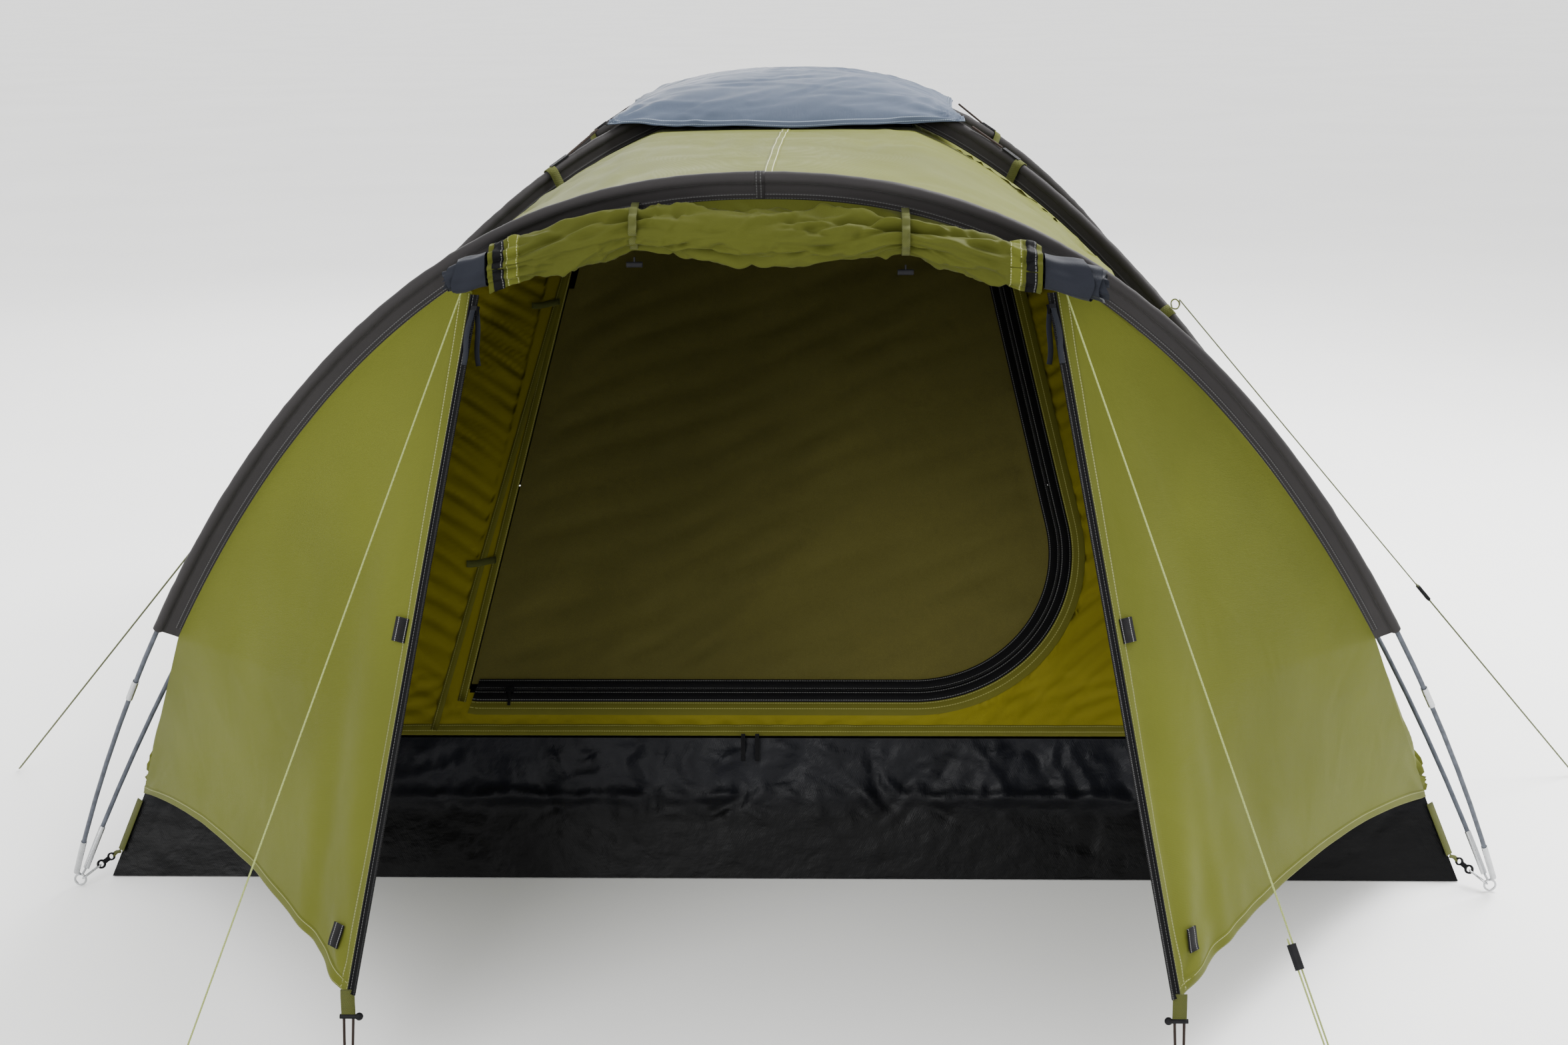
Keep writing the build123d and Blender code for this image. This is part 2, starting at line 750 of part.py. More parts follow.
def inner_ribbon():
    """Hangs plumb inside the porch."""
    _, towards, _ = edge_frame()
    start = edge_point(ribbon_pivot, slider_middle, -ribbon_out)
    return bar(start, start + Vector(0, 0, -ribbon_length), towards, ribbon_width, ribbon_thickness)


hook_tab_shares = ((0.46, 0.50), (0.92, 0.96))     # top and bottom of each, down the panel
hook_tab_across = 0.06
hook_tab_out = 4.4
hook_tab_width = 25.0
hook_tab_thickness = 2.0


def hook_tabs():
    """Two hook-and-loop patches on the outside of the panel, beside the door edge."""
    tabs = []
    _, towards, outward = edge_frame()
    for high, low in hook_tab_shares:
        upper, lower = [Vector(*porch_panel_point(share, hook_tab_across)) + outward * hook_tab_out
                        for share in (high, low)]
        tabs.append(bar(upper, lower, towards, hook_tab_width, hook_tab_thickness))
    return tabs


# ---- rolled outer door -----------------------------------------------------------------
roll_line = [(-368.0, 1122.0), (-172.0, 1178.0), (14.0, 1160.0), (199.0, 1164.0), (380.0, 1115.0)]
flap_ends = {"left": (-436.0, 1104.0), "right": (476.0, 1092.0)}
flap_end_radius = 27.0
flap_end_hollow_radius = 20.0
flap_end_hollow_start = 0.45         # as a share of the end's length
flap_end_gap = 1.6
roll_bends = [420.0, 900.0, 420.0]
tie_centres = {"left": (-172.0, 1171.0), "right": (199.0, 1159.0)}
tie_gap = 3.2
tie_thickness = 1.2
tie_width = 20.0
tail_thickness = 1.4
toggle_drop = 12.0
toggle_half_length = 11.0
toggle_radius = 4.0
shank_radius = 1.5


def roll_points():
    return [Vector(x, roll_front, z) for x, z in roll_line]


def rolled_door():
    return cord(roll_points(), roll_bends, roll_radius)


def flap_end(side):
    inner = roll_points()[0 if side == "left" else -1]
    x, z = flap_ends[side]
    outer = Vector(x, roll_front, z)
    away = (outer - inner).normalized()
    start = inner + away * flap_end_gap
    plane = Plane(origin=start, z_dir=away)
    length = (outer - start).length
    shell = extrude(plane * Circle(flap_end_radius), amount=length)
    hollow = plane.offset(length * flap_end_hollow_start) * Circle(flap_end_hollow_radius)
    return shell - extrude(hollow, amount=length)


def roll_centre(side):
    x, z = tie_centres[side]
    return Vector(x, roll_front, z)


def roll_tie(side):
    """A webbing loop round the roll with a tail up to the arch's seam."""
    centre = roll_centre(side)
    inside = roll_radius + tie_gap
    loop = eye(centre, (1, 0, 0), inside + tie_thickness, inside, tie_width)
    top = centre + Vector(0, 8.0, inside - 0.6)
    return loop + bar(top, top + Vector(0, 14.0, 8.0), (1, 0, 0), tie_width, tail_thickness)


def roll_toggle(side):
    """A small barrel hanging under the tie by its shank."""
    centre = roll_centre(side) + Vector(0, -6.0, -(roll_radius + 4.0))
    left, right = [centre + Vector(x, 0, -toggle_drop) for x in (-toggle_half_length, toggle_half_length)]
    shank = rod(centre + Vector(0, 0, -toggle_drop), centre + Vector(0, 0, -1.8), shank_radius)
    return rod(left, right, toggle_radius) + shank


# ---- top cover and its fixings ---------------------------------------------------------
cover_reach = cover_span * spread
cover_corner_angle = degrees(asin(cover_span * 1.02))
elastic_end_angle = 19.6    # degrees of sweep down the main poles, as the three below
hook_start_angle = 19.72
hook_end_angle = 21.15
loop_angle = 21.3
elastic_start_lift = 6.0    # above the sleeve's channel
elastic_end_lift = 3.4
hook_end_lift = 2.8
cover_elastic_radius = 2.2
cover_hook_width = 9.0
cover_hook_thickness = 3.6
cover_loop_width = 18.0


def cover_fixings(arch, right, lift):
    """Elastic, hook and webbing loop at one corner of the cover, along one pole."""
    sign = 1 if right else -1
    top = -(channel_half + cloth)
    start = arch.point(sign * cover_corner_angle, top - elastic_start_lift - lift)
    end = arch.point(sign * elastic_end_angle, top - elastic_end_lift)
    hook_from = arch.point(sign * hook_start_angle, top - elastic_end_lift)
    hook_to = arch.point(sign * hook_end_angle, top - hook_end_lift)
    hook = bar(hook_from, hook_to, arch.plane.z_dir, cover_hook_width, cover_hook_thickness)
    return rod(start, end, cover_elastic_radius), hook, cover_loop(arch, sign)


def cover_loop(arch, sign):
    """Two legs of webbing down the sides of a sleeve, which the hook holds on to."""
    legs = []
    for side in (-1, 1):
        wall = side * (channel_half + 2 * cloth)
        above = arch.point(sign * loop_angle, -(channel_half + cloth) + 2.0, wall)
        below = arch.point(sign * loop_angle, fin - 2 * seam_clear, wall)
        along = arch.point(sign * (loop_angle + 0.5)) - arch.point(sign * (loop_angle - 0.5))
        legs.append(bar(above, below, along, cover_loop_width, tail_thickness))
    return legs


# ---- guy lines -------------------------------------------------------------------------
runner_length = 34.0
runner_size = (14.0, 6.4)
runner_play = 0.4
knot_gap = 8.0              # from the line's knot to the runner
guy_bend = 2.9
front_line_start = 9.6      # from the middle of the front ring
side_line_start = 26.0      # above the main sleeve
guy_peg_names = {"front": front_peg, "side": side_peg}


def guy_start(kind):
    """Right-hand attachment point of a guy line, just outside its ring."""
    if kind == "front":
        return front_guy_ring() + (Vector(*front_peg) - front_guy_ring()).normalized() * front_line_start
    return main_b.point(side_guy_angle, -(channel_half + cloth) - side_line_start)


front_guy_x = 441.0
side_guy_share = 0.575      # of the way from the axis to the main pole's foot
front_guy_angle = degrees(asin(front_guy_x / arch_foot_x))
side_guy_angle = degrees(asin(side_guy_share))


def guy_frame(kind, side):
    """Start, peg end, way down and way across of one guy line."""
    start = guy_start(kind)
    end = Vector(*guy_peg_names[kind])
    start, end = [Vector(side * p.X, p.Y, p.Z) for p in (start, end)]
    along = (end - start).normalized()
    across = along.cross(Vector(0, 0, 1)).normalized()
    return start, along, across, (end - start).length


runner_share = {("front", 1): 0.745, ("front", -1): 0.90, ("side", 1): 0.60, ("side", -1): 0.395}


def guy_line(kind, side):
    """One line: from the ring down to the peg, round it, and back up to the runner's knot."""
    start, along, across, length = guy_frame(kind, side)
    back = runner_share[kind, side] * length - runner_length / 2 - knot_gap
    route = [(0, 0), (length, 0), (length, strand_gap), (back, strand_gap)]
    points = [start + along * a + across * c for a, c in route]
    return cord(points, [guy_bend, guy_bend], cord_radius)


def guy_runner(kind, side):
    """A flat plastic slider with two holes that the line passes through."""
    start, along, across, length = guy_frame(kind, side)
    centre = start + along * (runner_share[kind, side] * length) + across * (strand_gap / 2)
    plane = Plane(origin=centre - along * (runner_length / 2), x_dir=across, z_dir=along)
    shape = SlotOverall(*runner_size)
    for place in (-strand_gap / 2, strand_gap / 2):
        shape -= Pos(place, 0) * Circle(cord_radius + runner_play)
    return extrude(plane * shape, amount=runner_length)


side_band_width = 24.0
side_band_slack = 9.0
side_ring_lift = 14.0
side_ring = (10.0, 7.4, 2.4)        # outer radius, inner radius, thickness
front_ring = (7.6, 5.4, 2.0)
front_ring_forward = 24.0
front_tail_width = 14.0


def side_guy_fixing():
    """Webbing band round the sleeve's channel and the steel ring that it holds."""
    wall = channel_half + cloth
    along = main_b.point(side_guy_angle + 0.5) - main_b.point(side_guy_angle - 0.5)
    centre = main_b.point(side_guy_angle, 4.0)
    low = centre - along.normalized() * side_band_width / 2
    plane = Plane(origin=low, x_dir=main_b.plane.z_dir, z_dir=along)
    inside = Rectangle(2 * wall + 2.0, 2 * wall + side_band_slack)
    ring = Rectangle(2 * wall + 5.0, 2 * wall + side_band_slack + 3.0) - inside
    keyhole = Pos(0, fin_side(plane) * side_band_width / 2) * Rectangle(6.0, 16.0)
    webbing = extrude(plane * (ring - keyhole), amount=side_band_width)
    ring_centre = main_b.point(side_guy_angle, -wall - side_ring_lift)
    normal = along.normalized().cross(main_b.point(side_guy_angle, 1.0) - centre).normalized()
    return webbing, eye(ring_centre, normal, *side_ring)


def fin_side(plane):
    """Which way along the plane's y axis the sleeve's fin lies."""
    inwards = main_b.point(side_guy_angle, 20.0) - main_b.point(side_guy_angle, 0.0)
    return 1 if inwards.dot(plane.y_dir) > 0 else -1


def front_guy_ring():
    return front_arch.point(front_guy_angle, fin + 6.0) + Vector(0, -front_ring_forward, 0)


def front_guy_fixing():
    """Short webbing tail at the arch's seam with a small steel ring."""
    seam_point = front_arch.point(front_guy_angle, fin - 6.0) + Vector(0, -6.5, 0)
    ring_centre = front_guy_ring()
    tail_end = ring_centre + Vector(0, 3.0, 9.0)
    webbing = bar(seam_point, tail_end, (1, 0, 0), front_tail_width, webbing_thickness)
    return webbing, eye(ring_centre, (0, 1, 0), *front_ring)


# ---- porch corner fixings --------------------------------------------------------------
peg_reach = 26.0            # the elastic's peg stands this far in front of the porch corner
porch_tail_start = 4.0
porch_tail_width = 20.0
porch_tail_thickness = 1.8
crossbar_left = 15.0
crossbar_right = 12.0
crossbar_radius = 3.4
ball_radius = 5.6
strand_half_top = 6.5       # half the space between the elastic's strands at the hook
strand_half_foot = 5.0      # and at the peg
elastic_bend = 4.4


def porch_corner_parts():
    """Webbing tail, crossbar hook and elastic peg loop at the right-hand porch corner."""
    corner = edge_foot + Vector(0, 0, -porch_tail_start)
    webbing = bar(corner, corner + Vector(0, -3.0, -20.0), (1, 0, 0), porch_tail_width, porch_tail_thickness)
    bar_at = corner + Vector(0, -3.4, -25.0)
    top = bar_at + Vector(0, 0, -3.6)
    foot = Vector(top.X, top.Y - peg_reach, elastic_radius + 2.0)
    points = [top + Vector(-strand_half_top, 0, 0), foot + Vector(-strand_half_foot, 0, 0),
              foot + Vector(strand_half_foot, 0, 0), top + Vector(strand_half_top, 0, 0)]
    return webbing, crossbar(bar_at), cord(points, [elastic_bend, elastic_bend], elastic_radius)


def crossbar(middle):
    """A round bar along X with a ball at its outer end, turned about its own axis."""
    bar_left, bar_right = -crossbar_left, crossbar_right
    outline = make_face(Polyline((bar_left, 0), (bar_left, crossbar_radius),
                                 (bar_right, crossbar_radius), (bar_right, 0), close=True))
    ball = make_face([CenterArc((bar_left, 0), ball_radius, 0, 180),
                      Line((bar_left - ball_radius, 0), (bar_left + ball_radius, 0))])
    return Pos(*middle) * revolve(outline + ball, axis=Axis.X)


# ---- the tent --------------------------------------------------------------------------
def make_poles():
    save(pole_sections(main_a, pole_radius, pole_bore), "main_pole_a")
    save(pole_sections(main_b, pole_radius, pole_bore), "main_pole_b")
    save(pole_sections(front_arch, pole_radius, pole_bore), "front_arch_pole")
    arches = (main_a, main_b, front_arch)
    save([tube for arch in arches for tube in joint_ferrules(arch)], "pole_joint_ferrules")
    save([core for arch in arches for core in pole_sections(arch, cord_core_radius)], "pole_shock_cords")
    feet = [foot_ferrule(arch, right) for arch in arches for right in (False, True)]
    save(feet, "pole_foot_ferrules")


def make_corners():
    corners = [(x, y) for y in (-1, 1) for x in (-1, 1)]
    rings, links, hooks, webbing = zip(*[corner_set(x, y) for x, y in corners])
    save(list(rings), "corner_rings")
    save(list(links), "corner_links")
    save(list(hooks), "corner_hooks")
    tail, hook, elastic = porch_corner_parts()
    save(list(webbing) + list(both_sides(tail).values()), "corner_webbing")
    save(list(both_sides(hook).values()), "porch_corner_hooks")
    for side, piece in both_sides(elastic).items():
        save(piece, f"porch_corner_elastic_{side}")


def make_sleeves():
    save(main_sleeve(main_a), "main_sleeve_a")
    save(main_sleeve(main_b), "main_sleeve_b")
    save(sleeve(front_arch, -arch_end, arch_end, arcs_per_sleeve), "arch_sleeve")


def make_dome():
    for side, piece in both_sides(vault_wall(share_x, share_y)).items():
        save(piece, f"{side}_wall")
    rear = vault_wall(share_y, share_x)
    save(Rot(0, 0, 90) * rear, "rear_wall")
    save(groundsheet(), "groundsheet")
    vent_reach = seam(vent_angle)[0]
    save(pavilion(vent_reach, -fin - 1.0, vent_share, vent_rows), "roof_vent_mesh")
    save(inner_front_wall(), "inner_front_wall")


def make_inner_door():
    wall_tape, door_tape = door_tapes()
    save(inner_door(), "inner_door_panel")
    save(wall_tape, "inner_zip_wall_tape")
    save(door_tape, "inner_zip_door_tape")
    save(inner_slider(), "inner_zip_slider")
    save(tie_tabs(), "inner_tie_tabs")
    for side, x in sill_strap_places.items():
        save(sill_strap(x), f"sill_strap_{side}")


def make_porch():
    save(porch_roof(), "porch_roof")
    pieces = {"porch_panel": porch_panel(), "door_zip": side_zip(), "zip_slider": side_slider(),
              "outer_ribbon": outer_ribbon(), "inner_ribbon": inner_ribbon()}
    for name, right in pieces.items():
        for side, piece in both_sides(right).items():
            save(piece, f"{name}_{side}")
    tabs = hook_tabs()
    save(tabs + [mirror(tab, about=Plane.YZ) for tab in tabs], "hook_and_loop_tabs")


def make_rolled_door():
    save(rolled_door(), "rolled_outer_door")
    save([flap_end("left"), flap_end("right")], "rolled_storm_flap_ends")
    save([roll_tie("left"), roll_tie("right")], "roll_ties")
    for side in ("left", "right"):
        save(roll_toggle(side), f"roll_toggle_{side}")


def make_cover():
    save(pavilion(cover_reach, cover_lift + crossing_lift, 1.0, cover_rows), "top_cover")
    lifts = ((main_a, crossing_lift), (main_b, 0.0))
    fixings = [cover_fixings(arch, right, lift) for arch, lift in lifts for right in (False, True)]
    elastics, hooks, loops = zip(*fixings)
    save(list(elastics), "cover_elastics")
    save(list(hooks), "cover_hooks")
    save([strap for pair in loops for strap in pair], "cover_webbing_loops")


def make_guys():
    webbing, rings = [], []
    for piece, ring in (side_guy_fixing(), front_guy_fixing()):
        webbing += list(both_sides(piece).values())
        rings += list(both_sides(ring).values())
    save(webbing, "guy_webbing")
    save(rings, "guy_rings")
    for kind in ("front", "side"):
        for name, side in (("left", -1), ("right", 1)):
            save(guy_line(kind, side), f"{kind}_guy_line_{name}")
            save(guy_runner(kind, side), f"{kind}_guy_runner_{name}")


if __name__ == "__main__":
    make_poles()
    make_corners()
    make_sleeves()
    make_dome()
    make_inner_door()
    make_porch()
    make_rolled_door()
    make_cover()
    make_guys()
    print(f"guy bend {guy_bend} mm on a {2 * cord_radius} mm line, elastic bend {elastic_bend} mm")
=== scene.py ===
import bpy
import math
import numpy as np
from mathutils import Matrix, Vector


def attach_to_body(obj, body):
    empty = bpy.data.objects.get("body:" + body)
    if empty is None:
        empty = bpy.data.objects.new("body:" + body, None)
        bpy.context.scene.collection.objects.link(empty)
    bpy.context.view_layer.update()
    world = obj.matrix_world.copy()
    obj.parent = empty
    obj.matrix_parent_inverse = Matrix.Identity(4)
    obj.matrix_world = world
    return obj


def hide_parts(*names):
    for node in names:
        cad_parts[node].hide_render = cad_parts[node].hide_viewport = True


# Dome tent with a porch, in metres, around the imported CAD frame.
# +X right, -Y towards the porch, +Z up; the origin is on the ground under the crossing.

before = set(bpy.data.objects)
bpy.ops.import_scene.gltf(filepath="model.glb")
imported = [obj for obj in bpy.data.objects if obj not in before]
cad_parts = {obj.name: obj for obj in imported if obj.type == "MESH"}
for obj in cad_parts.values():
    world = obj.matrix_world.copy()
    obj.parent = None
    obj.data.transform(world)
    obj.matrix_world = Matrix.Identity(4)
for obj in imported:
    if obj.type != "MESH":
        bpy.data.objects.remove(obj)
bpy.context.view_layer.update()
tent = "tent"

# ---- camera ----------------------------------------------------------------------------
camera_place = Vector((0.1274, -4.617, 1.5521))
camera_yaw, camera_pitch, camera_roll = (math.radians(a) for a in (-1.811, -14.346, 0.496))
camera_lens, camera_sensor, camera_far = 52.03, 36.0, 400.0


def make_camera():
    ahead = Vector((math.sin(camera_yaw) * math.cos(camera_pitch),
                    math.cos(camera_yaw) * math.cos(camera_pitch), math.sin(camera_pitch)))
    level = Vector((math.cos(camera_yaw), -math.sin(camera_yaw), 0))
    below = ahead.cross(level)
    right = level * math.cos(camera_roll) + below * math.sin(camera_roll)
    down = below * math.cos(camera_roll) - level * math.sin(camera_roll)
    camera = bpy.data.objects.new("camera", bpy.data.cameras.new("camera"))
    camera.data.lens = camera_lens
    camera.data.sensor_width = camera_sensor
    camera.data.clip_end = camera_far
    columns = Matrix((right, -down, -ahead)).transposed().to_4x4()
    camera.matrix_world = Matrix.Translation(camera_place) @ columns
    bpy.context.scene.collection.objects.link(camera)
    bpy.context.scene.camera = camera


make_camera()


# ---- materials -------------------------------------------------------------------------
class Nodes:
    """A material with a few short words for the nodes that every finish here uses."""

    def __init__(self, name, **sockets):
        self.material = bpy.data.materials.new(name)
        self.material.use_nodes = True
        self.tree = self.material.node_tree
        self.shader = self.tree.nodes["Principled BSDF"]
        self.place = self.new("ShaderNodeTexCoord").outputs["Object"]
        self.uv = self.new("ShaderNodeUVMap").outputs["UV"]
        for socket, value in sockets.items():
            self.shader.inputs[socket.replace("_", " ")].default_value = value

    def new(self, kind, **settings):
        node = self.tree.nodes.new(kind)
        for key, value in settings.items():
            setattr(node, key, value)
        return node

    def link(self, source, target):
        self.tree.links.new(source, target)

    def maths(self, operation, a, b=0.0):
        node = self.new("ShaderNodeMath", operation=operation)
        for socket, value in zip(node.inputs, (a, b)):
            if isinstance(value, (int, float)):
                socket.default_value = value
            else:
                self.link(value, socket)
        return node.outputs[0]

    def noise(self, scale, detail=3.0, stretch=(1, 1, 1)):
        mapping = self.new("ShaderNodeMapping")
        mapping.inputs["Scale"].default_value = stretch
        self.link(self.place, mapping.inputs["Vector"])
        node = self.new("ShaderNodeTexNoise")
        node.inputs["Scale"].default_value = scale
        node.inputs["Detail"].default_value = detail
        self.link(mapping.outputs[0], node.inputs["Vector"])
        return node.outputs["Fac"]

    def ramp(self, value, *stops):
        node = self.new("ShaderNodeValToRGB")
        ramp = node.color_ramp
        while len(ramp.elements) < len(stops):
            ramp.elements.new(0.5)
        for element, (place, colour) in zip(ramp.elements, stops):
            element.position = place
            element.color = (*colour, 1) if hasattr(colour, "__len__") else (colour,) * 3 + (1,)
        self.link(value, node.inputs[0])
        return node.outputs[0]

    def mix(self, factor, a, b):
        node = self.new("ShaderNodeMix", data_type="RGBA")
        self.link(factor, node.inputs[0])
        for socket, value in zip((node.inputs[6], node.inputs[7]), (a, b)):
            if hasattr(value, "__len__"):
                socket.default_value = (*value, 1)
            else:
                self.link(value, socket)
        return node.outputs[2]

    def axis(self, vector, index):
        node = self.new("ShaderNodeSeparateXYZ")
        self.link(vector, node.inputs[0])
        return node.outputs[index]

    def ribs(self, value, period):
        turned = self.maths("MULTIPLY", value, 2 * math.pi / period)
        return self.maths("SINE", turned)

    def stitches(self, rows, length=0.0042, width=0.0007):
        """1 on the dashes of the stitch rows, which are distances across the UV map, in metres."""
        along, across = self.axis(self.uv, 0), self.axis(self.uv, 1)
        dash = self.maths("LESS_THAN", self.maths("FRACT", self.maths("DIVIDE", along, length)), 0.72)
        total = None
        for row in rows:
            near = self.maths("ABSOLUTE", self.maths("SUBTRACT", across, row))
            hit = self.maths("LESS_THAN", near, width)
            total = hit if total is None else self.maths("MAXIMUM", total, hit)
        return self.maths("MULTIPLY", total, dash)

    def bump(self, *layers):
        """Bump from (height, depth in metres) layers, joined in a chain."""
        normal = None
        for height, depth in layers:
            node = self.new("ShaderNodeBump")
            node.inputs["Distance"].default_value = depth
            self.link(height, node.inputs["Height"])
            if normal is not None:
                self.link(normal, node.inputs["Normal"])
            normal = node.outputs[0]
        self.link(normal, self.shader.inputs["Normal"])

    def colour(self, value):
        self.link(value, self.shader.inputs["Base Color"])

    def roughness(self, value, low, high):
        self.link(self.ramp(value, (0.25, low), (0.75, high)), self.shader.inputs["Roughness"])


def shade(colour, factor):
    return tuple(min(1.0, c * factor) for c in colour)


def weave(m, period=0.0016):
    """Crossing threads in object space, seen only from close by."""
    x, y, z = (m.ribs(m.axis(m.place, i), period) for i in range(3))
    return m.maths("MULTIPLY", m.maths("MULTIPLY", x, y), z)


def cloth_material(name, colour, rough=0.62, sheen=0.03, crumple=0.002, stitch_rows=(),
                   thread=(0.62, 0.62, 0.5)):
    m = Nodes(name, Sheen_Weight=sheen, Sheen_Roughness=0.45, Specular_IOR_Level=0.06)
    broad = m.noise(2.3, 4.0)
    tint = m.ramp(broad, (0.3, shade(colour, 0.86)), (0.7, shade(colour, 1.12)))
    fine = m.noise(900.0, 1.0)
    tint = m.mix(m.ramp(fine, (0.35, 0.0), (0.75, 0.16)), tint, shade(colour, 0.6))
    if stitch_rows:
        tint = m.mix(m.stitches(stitch_rows), tint, thread)
    m.colour(tint)
    m.roughness(m.noise(7.0), rough - 0.08, rough + 0.08)
    m.bump((m.noise(9.0, 5.0, (1, 1, 0.45)), crumple), (weave(m), 0.00012))
    return m.material


def mesh_material(name, colour):
    m = Nodes(name, Sheen_Weight=0.02, Specular_IOR_Level=0.08)
    broad = m.noise(1.7, 5.0)
    tint = m.ramp(broad, (0.3, shade(colour, 0.75)), (0.72, shade(colour, 1.3)))
    m.colour(m.mix(m.ramp(m.noise(1400.0, 1.0), (0.4, 0.0), (0.6, 0.4)), tint, shade(colour, 0.35)))
    m.roughness(m.noise(12.0), 0.72, 0.9)
    m.bump((m.noise(14.0, 6.0), 0.003), (weave(m, 0.0012), 0.0002))
    return m.material


def sheet_plastic(name, colour, painted_sheen_colour, low, high):
    """Coated sheet, near black at the foot and paler higher up, where the paler colour is a painted sheen for
    the light that the upper walls reflect.
    """
    m = Nodes(name, Specular_IOR_Level=0.11)
    # Painted sheen: from the foot up the colour turns from near black to a paler grey-blue that stands for
    # reflected light.
    climb = m.maths("DIVIDE", m.maths("SUBTRACT", m.axis(m.place, 2), low), high - low)
    painted_sheen_tint = m.mix(m.ramp(climb, (0.30, 0.0), (0.75, 1.0)), colour, painted_sheen_colour)
    m.colour(m.mix(m.ramp(m.noise(6.0, 6.0), (0.35, 0.0), (0.75, 0.5)), painted_sheen_tint, shade(colour, 0.6)))
    m.roughness(m.noise(11.0, 6.0), 0.28, 0.46)
    crumple = m.noise(16.0, 7.0, (0.6, 0.6, 1))
    m.bump((crumple, 0.006), (m.noise(70.0, 4.0), 0.0012), (weave(m, 0.004), 0.0001))
    return m.material


def webbing_material(name, colour, rib=0.0022, thread=None):
    m = Nodes(name, Sheen_Weight=0.03, Sheen_Roughness=0.5, Specular_IOR_Level=0.1)
    ribs = m.ribs(m.axis(m.uv, 0), rib)
    cross = m.ribs(m.axis(m.uv, 1), rib * 1.4)
    pattern = m.maths("MULTIPLY", ribs, cross)
    # Colour follows the ribs: painted shade in the grooves and a painted highlight on the ridges.
    tint = m.ramp(m.maths("ADD", m.maths("MULTIPLY", pattern, 0.5), 0.5),
                  (0.1, shade(colour, 0.6)), (0.9, shade(colour, 1.25)))
    if thread:
        tint = m.mix(m.stitches((0.0022, 0.0178), 0.003, 0.0006), tint, thread)
    m.colour(tint)
    m.roughness(m.noise(60.0), 0.7, 0.88)
    m.bump((pattern, 0.0004), (m.noise(400.0), 0.0002))
    return m.material


def metal_material(name, colour, rough, scratches=0.0002):
    m = Nodes(name, Metallic=1.0)
    m.colour(m.ramp(m.noise(60.0, 4.0), (0.3, shade(colour, 0.82)), (0.7, colour)))
    m.roughness(m.noise(180.0, 4.0), rough, rough + 0.16)
    m.bump((m.noise(700.0, 3.0, (1, 1, 0.1)), scratches))
    return m.material


def plastic_material(name, colour, rough=0.5, gloss=0.1):
    m = Nodes(name, Specular_IOR_Level=gloss)
    m.colour(m.ramp(m.noise(90.0, 3.0), (0.3, shade(colour, 0.8)), (0.75, shade(colour, 1.4))))
    m.roughness(m.noise(240.0), rough - 0.08, rough + 0.12)
    m.bump((m.noise(1500.0, 2.0), 0.00015))
    return m.material


def cord_material(name, colour, pitch=0.004):
    """A braided cover: two families of strands that cross along the cord."""
    m = Nodes(name, Sheen_Weight=0.03, Specular_IOR_Level=0.15)
    height = m.axis(m.place, 2)
    aside = m.axis(m.place, 0)
    one = m.ribs(m.maths("ADD", height, aside), pitch)
    two = m.ribs(m.maths("SUBTRACT", height, aside), pitch)
    braid = m.maths("MULTIPLY", one, two)
    # Colour follows the braid: painted shade where the strands dip and a painted highlight where they rise.
    m.colour(m.ramp(m.maths("ADD", m.maths("MULTIPLY", braid, 0.5), 0.5),
                    (0.1, shade(colour, 0.65)), (0.8, shade(colour, 1.15))))
    m.roughness(m.noise(90.0), 0.6, 0.8)
    m.bump((braid, 0.0003))
    return m.material


def zip_material(name, colour, tooth=0.0026):
    m = Nodes(name, Specular_IOR_Level=0.2)
    teeth = m.ribs(m.axis(m.uv, 0), tooth)
    # Painted highlight on the tops of the teeth and painted shade between them.
    m.colour(m.ramp(m.maths("ADD", m.maths("MULTIPLY", teeth, 0.5), 0.5),
                    (0.2, shade(colour, 0.4)), (0.8, shade(colour, 1.6))))
    m.roughness(m.noise(200.0), 0.35, 0.5)
    m.bump((teeth, 0.0008))
    return m.material


olive = (0.080, 0.088, 0.0105)
inner_yellow = (0.140, 0.122, 0.0075)
charcoal = (0.0235, 0.0218, 0.0222)
white_thread = (0.38, 0.39, 0.25)

canopy = cloth_material("olive canopy cloth", olive)
# The rolled door uses the canopy olive darkened to 0.6: painted shade for the shade under the arch.
roll_cloth_painted_shade = cloth_material("olive rolled cloth with painted shade", shade(olive, 0.6), crumple=0.003)
canopy_seam = cloth_material("olive seam with two stitch rows", shade(olive, 1.04), crumple=0.0006,
                             stitch_rows=(0.004, 0.014), thread=white_thread)
hem_cloth = cloth_material("olive hem with two stitch rows", shade(olive, 0.92), crumple=0.0008,
                           stitch_rows=(0.003, 0.017), thread=(0.20, 0.21, 0.09))
sleeve_cloth = cloth_material("charcoal sleeve cloth", charcoal, rough=0.5, sheen=0.05, crumple=0.0016)
sleeve_seam = cloth_material("charcoal seam with stitches", shade(charcoal, 0.8), rough=0.6, crumple=0.0004,
                             stitch_rows=(0.0022, 0.0082), thread=(0.06, 0.06, 0.06))
cover_cloth = cloth_material("slate top cover cloth", (0.050, 0.064, 0.092), rough=0.45, sheen=0.04,
                             crumple=0.0035)
cover_hem = cloth_material("slate hem with stitches", (0.044, 0.056, 0.078), crumple=0.0005,
                           stitch_rows=(0.0025, 0.011), thread=(0.15, 0.18, 0.22))
inner_cloth = cloth_material("thin inner cloth", inner_yellow, rough=0.5, crumple=0.003)
inner_tape = cloth_material("seam tape of the inner cloth", (0.078, 0.076, 0.010), crumple=0.0006,
                            stitch_rows=(0.003, 0.013), thread=(0.20, 0.20, 0.06))
door_mesh = mesh_material("dark inner door mesh", (0.078, 0.070, 0.017))
vent_mesh = mesh_material("black vent mesh", (0.012, 0.012, 0.013))
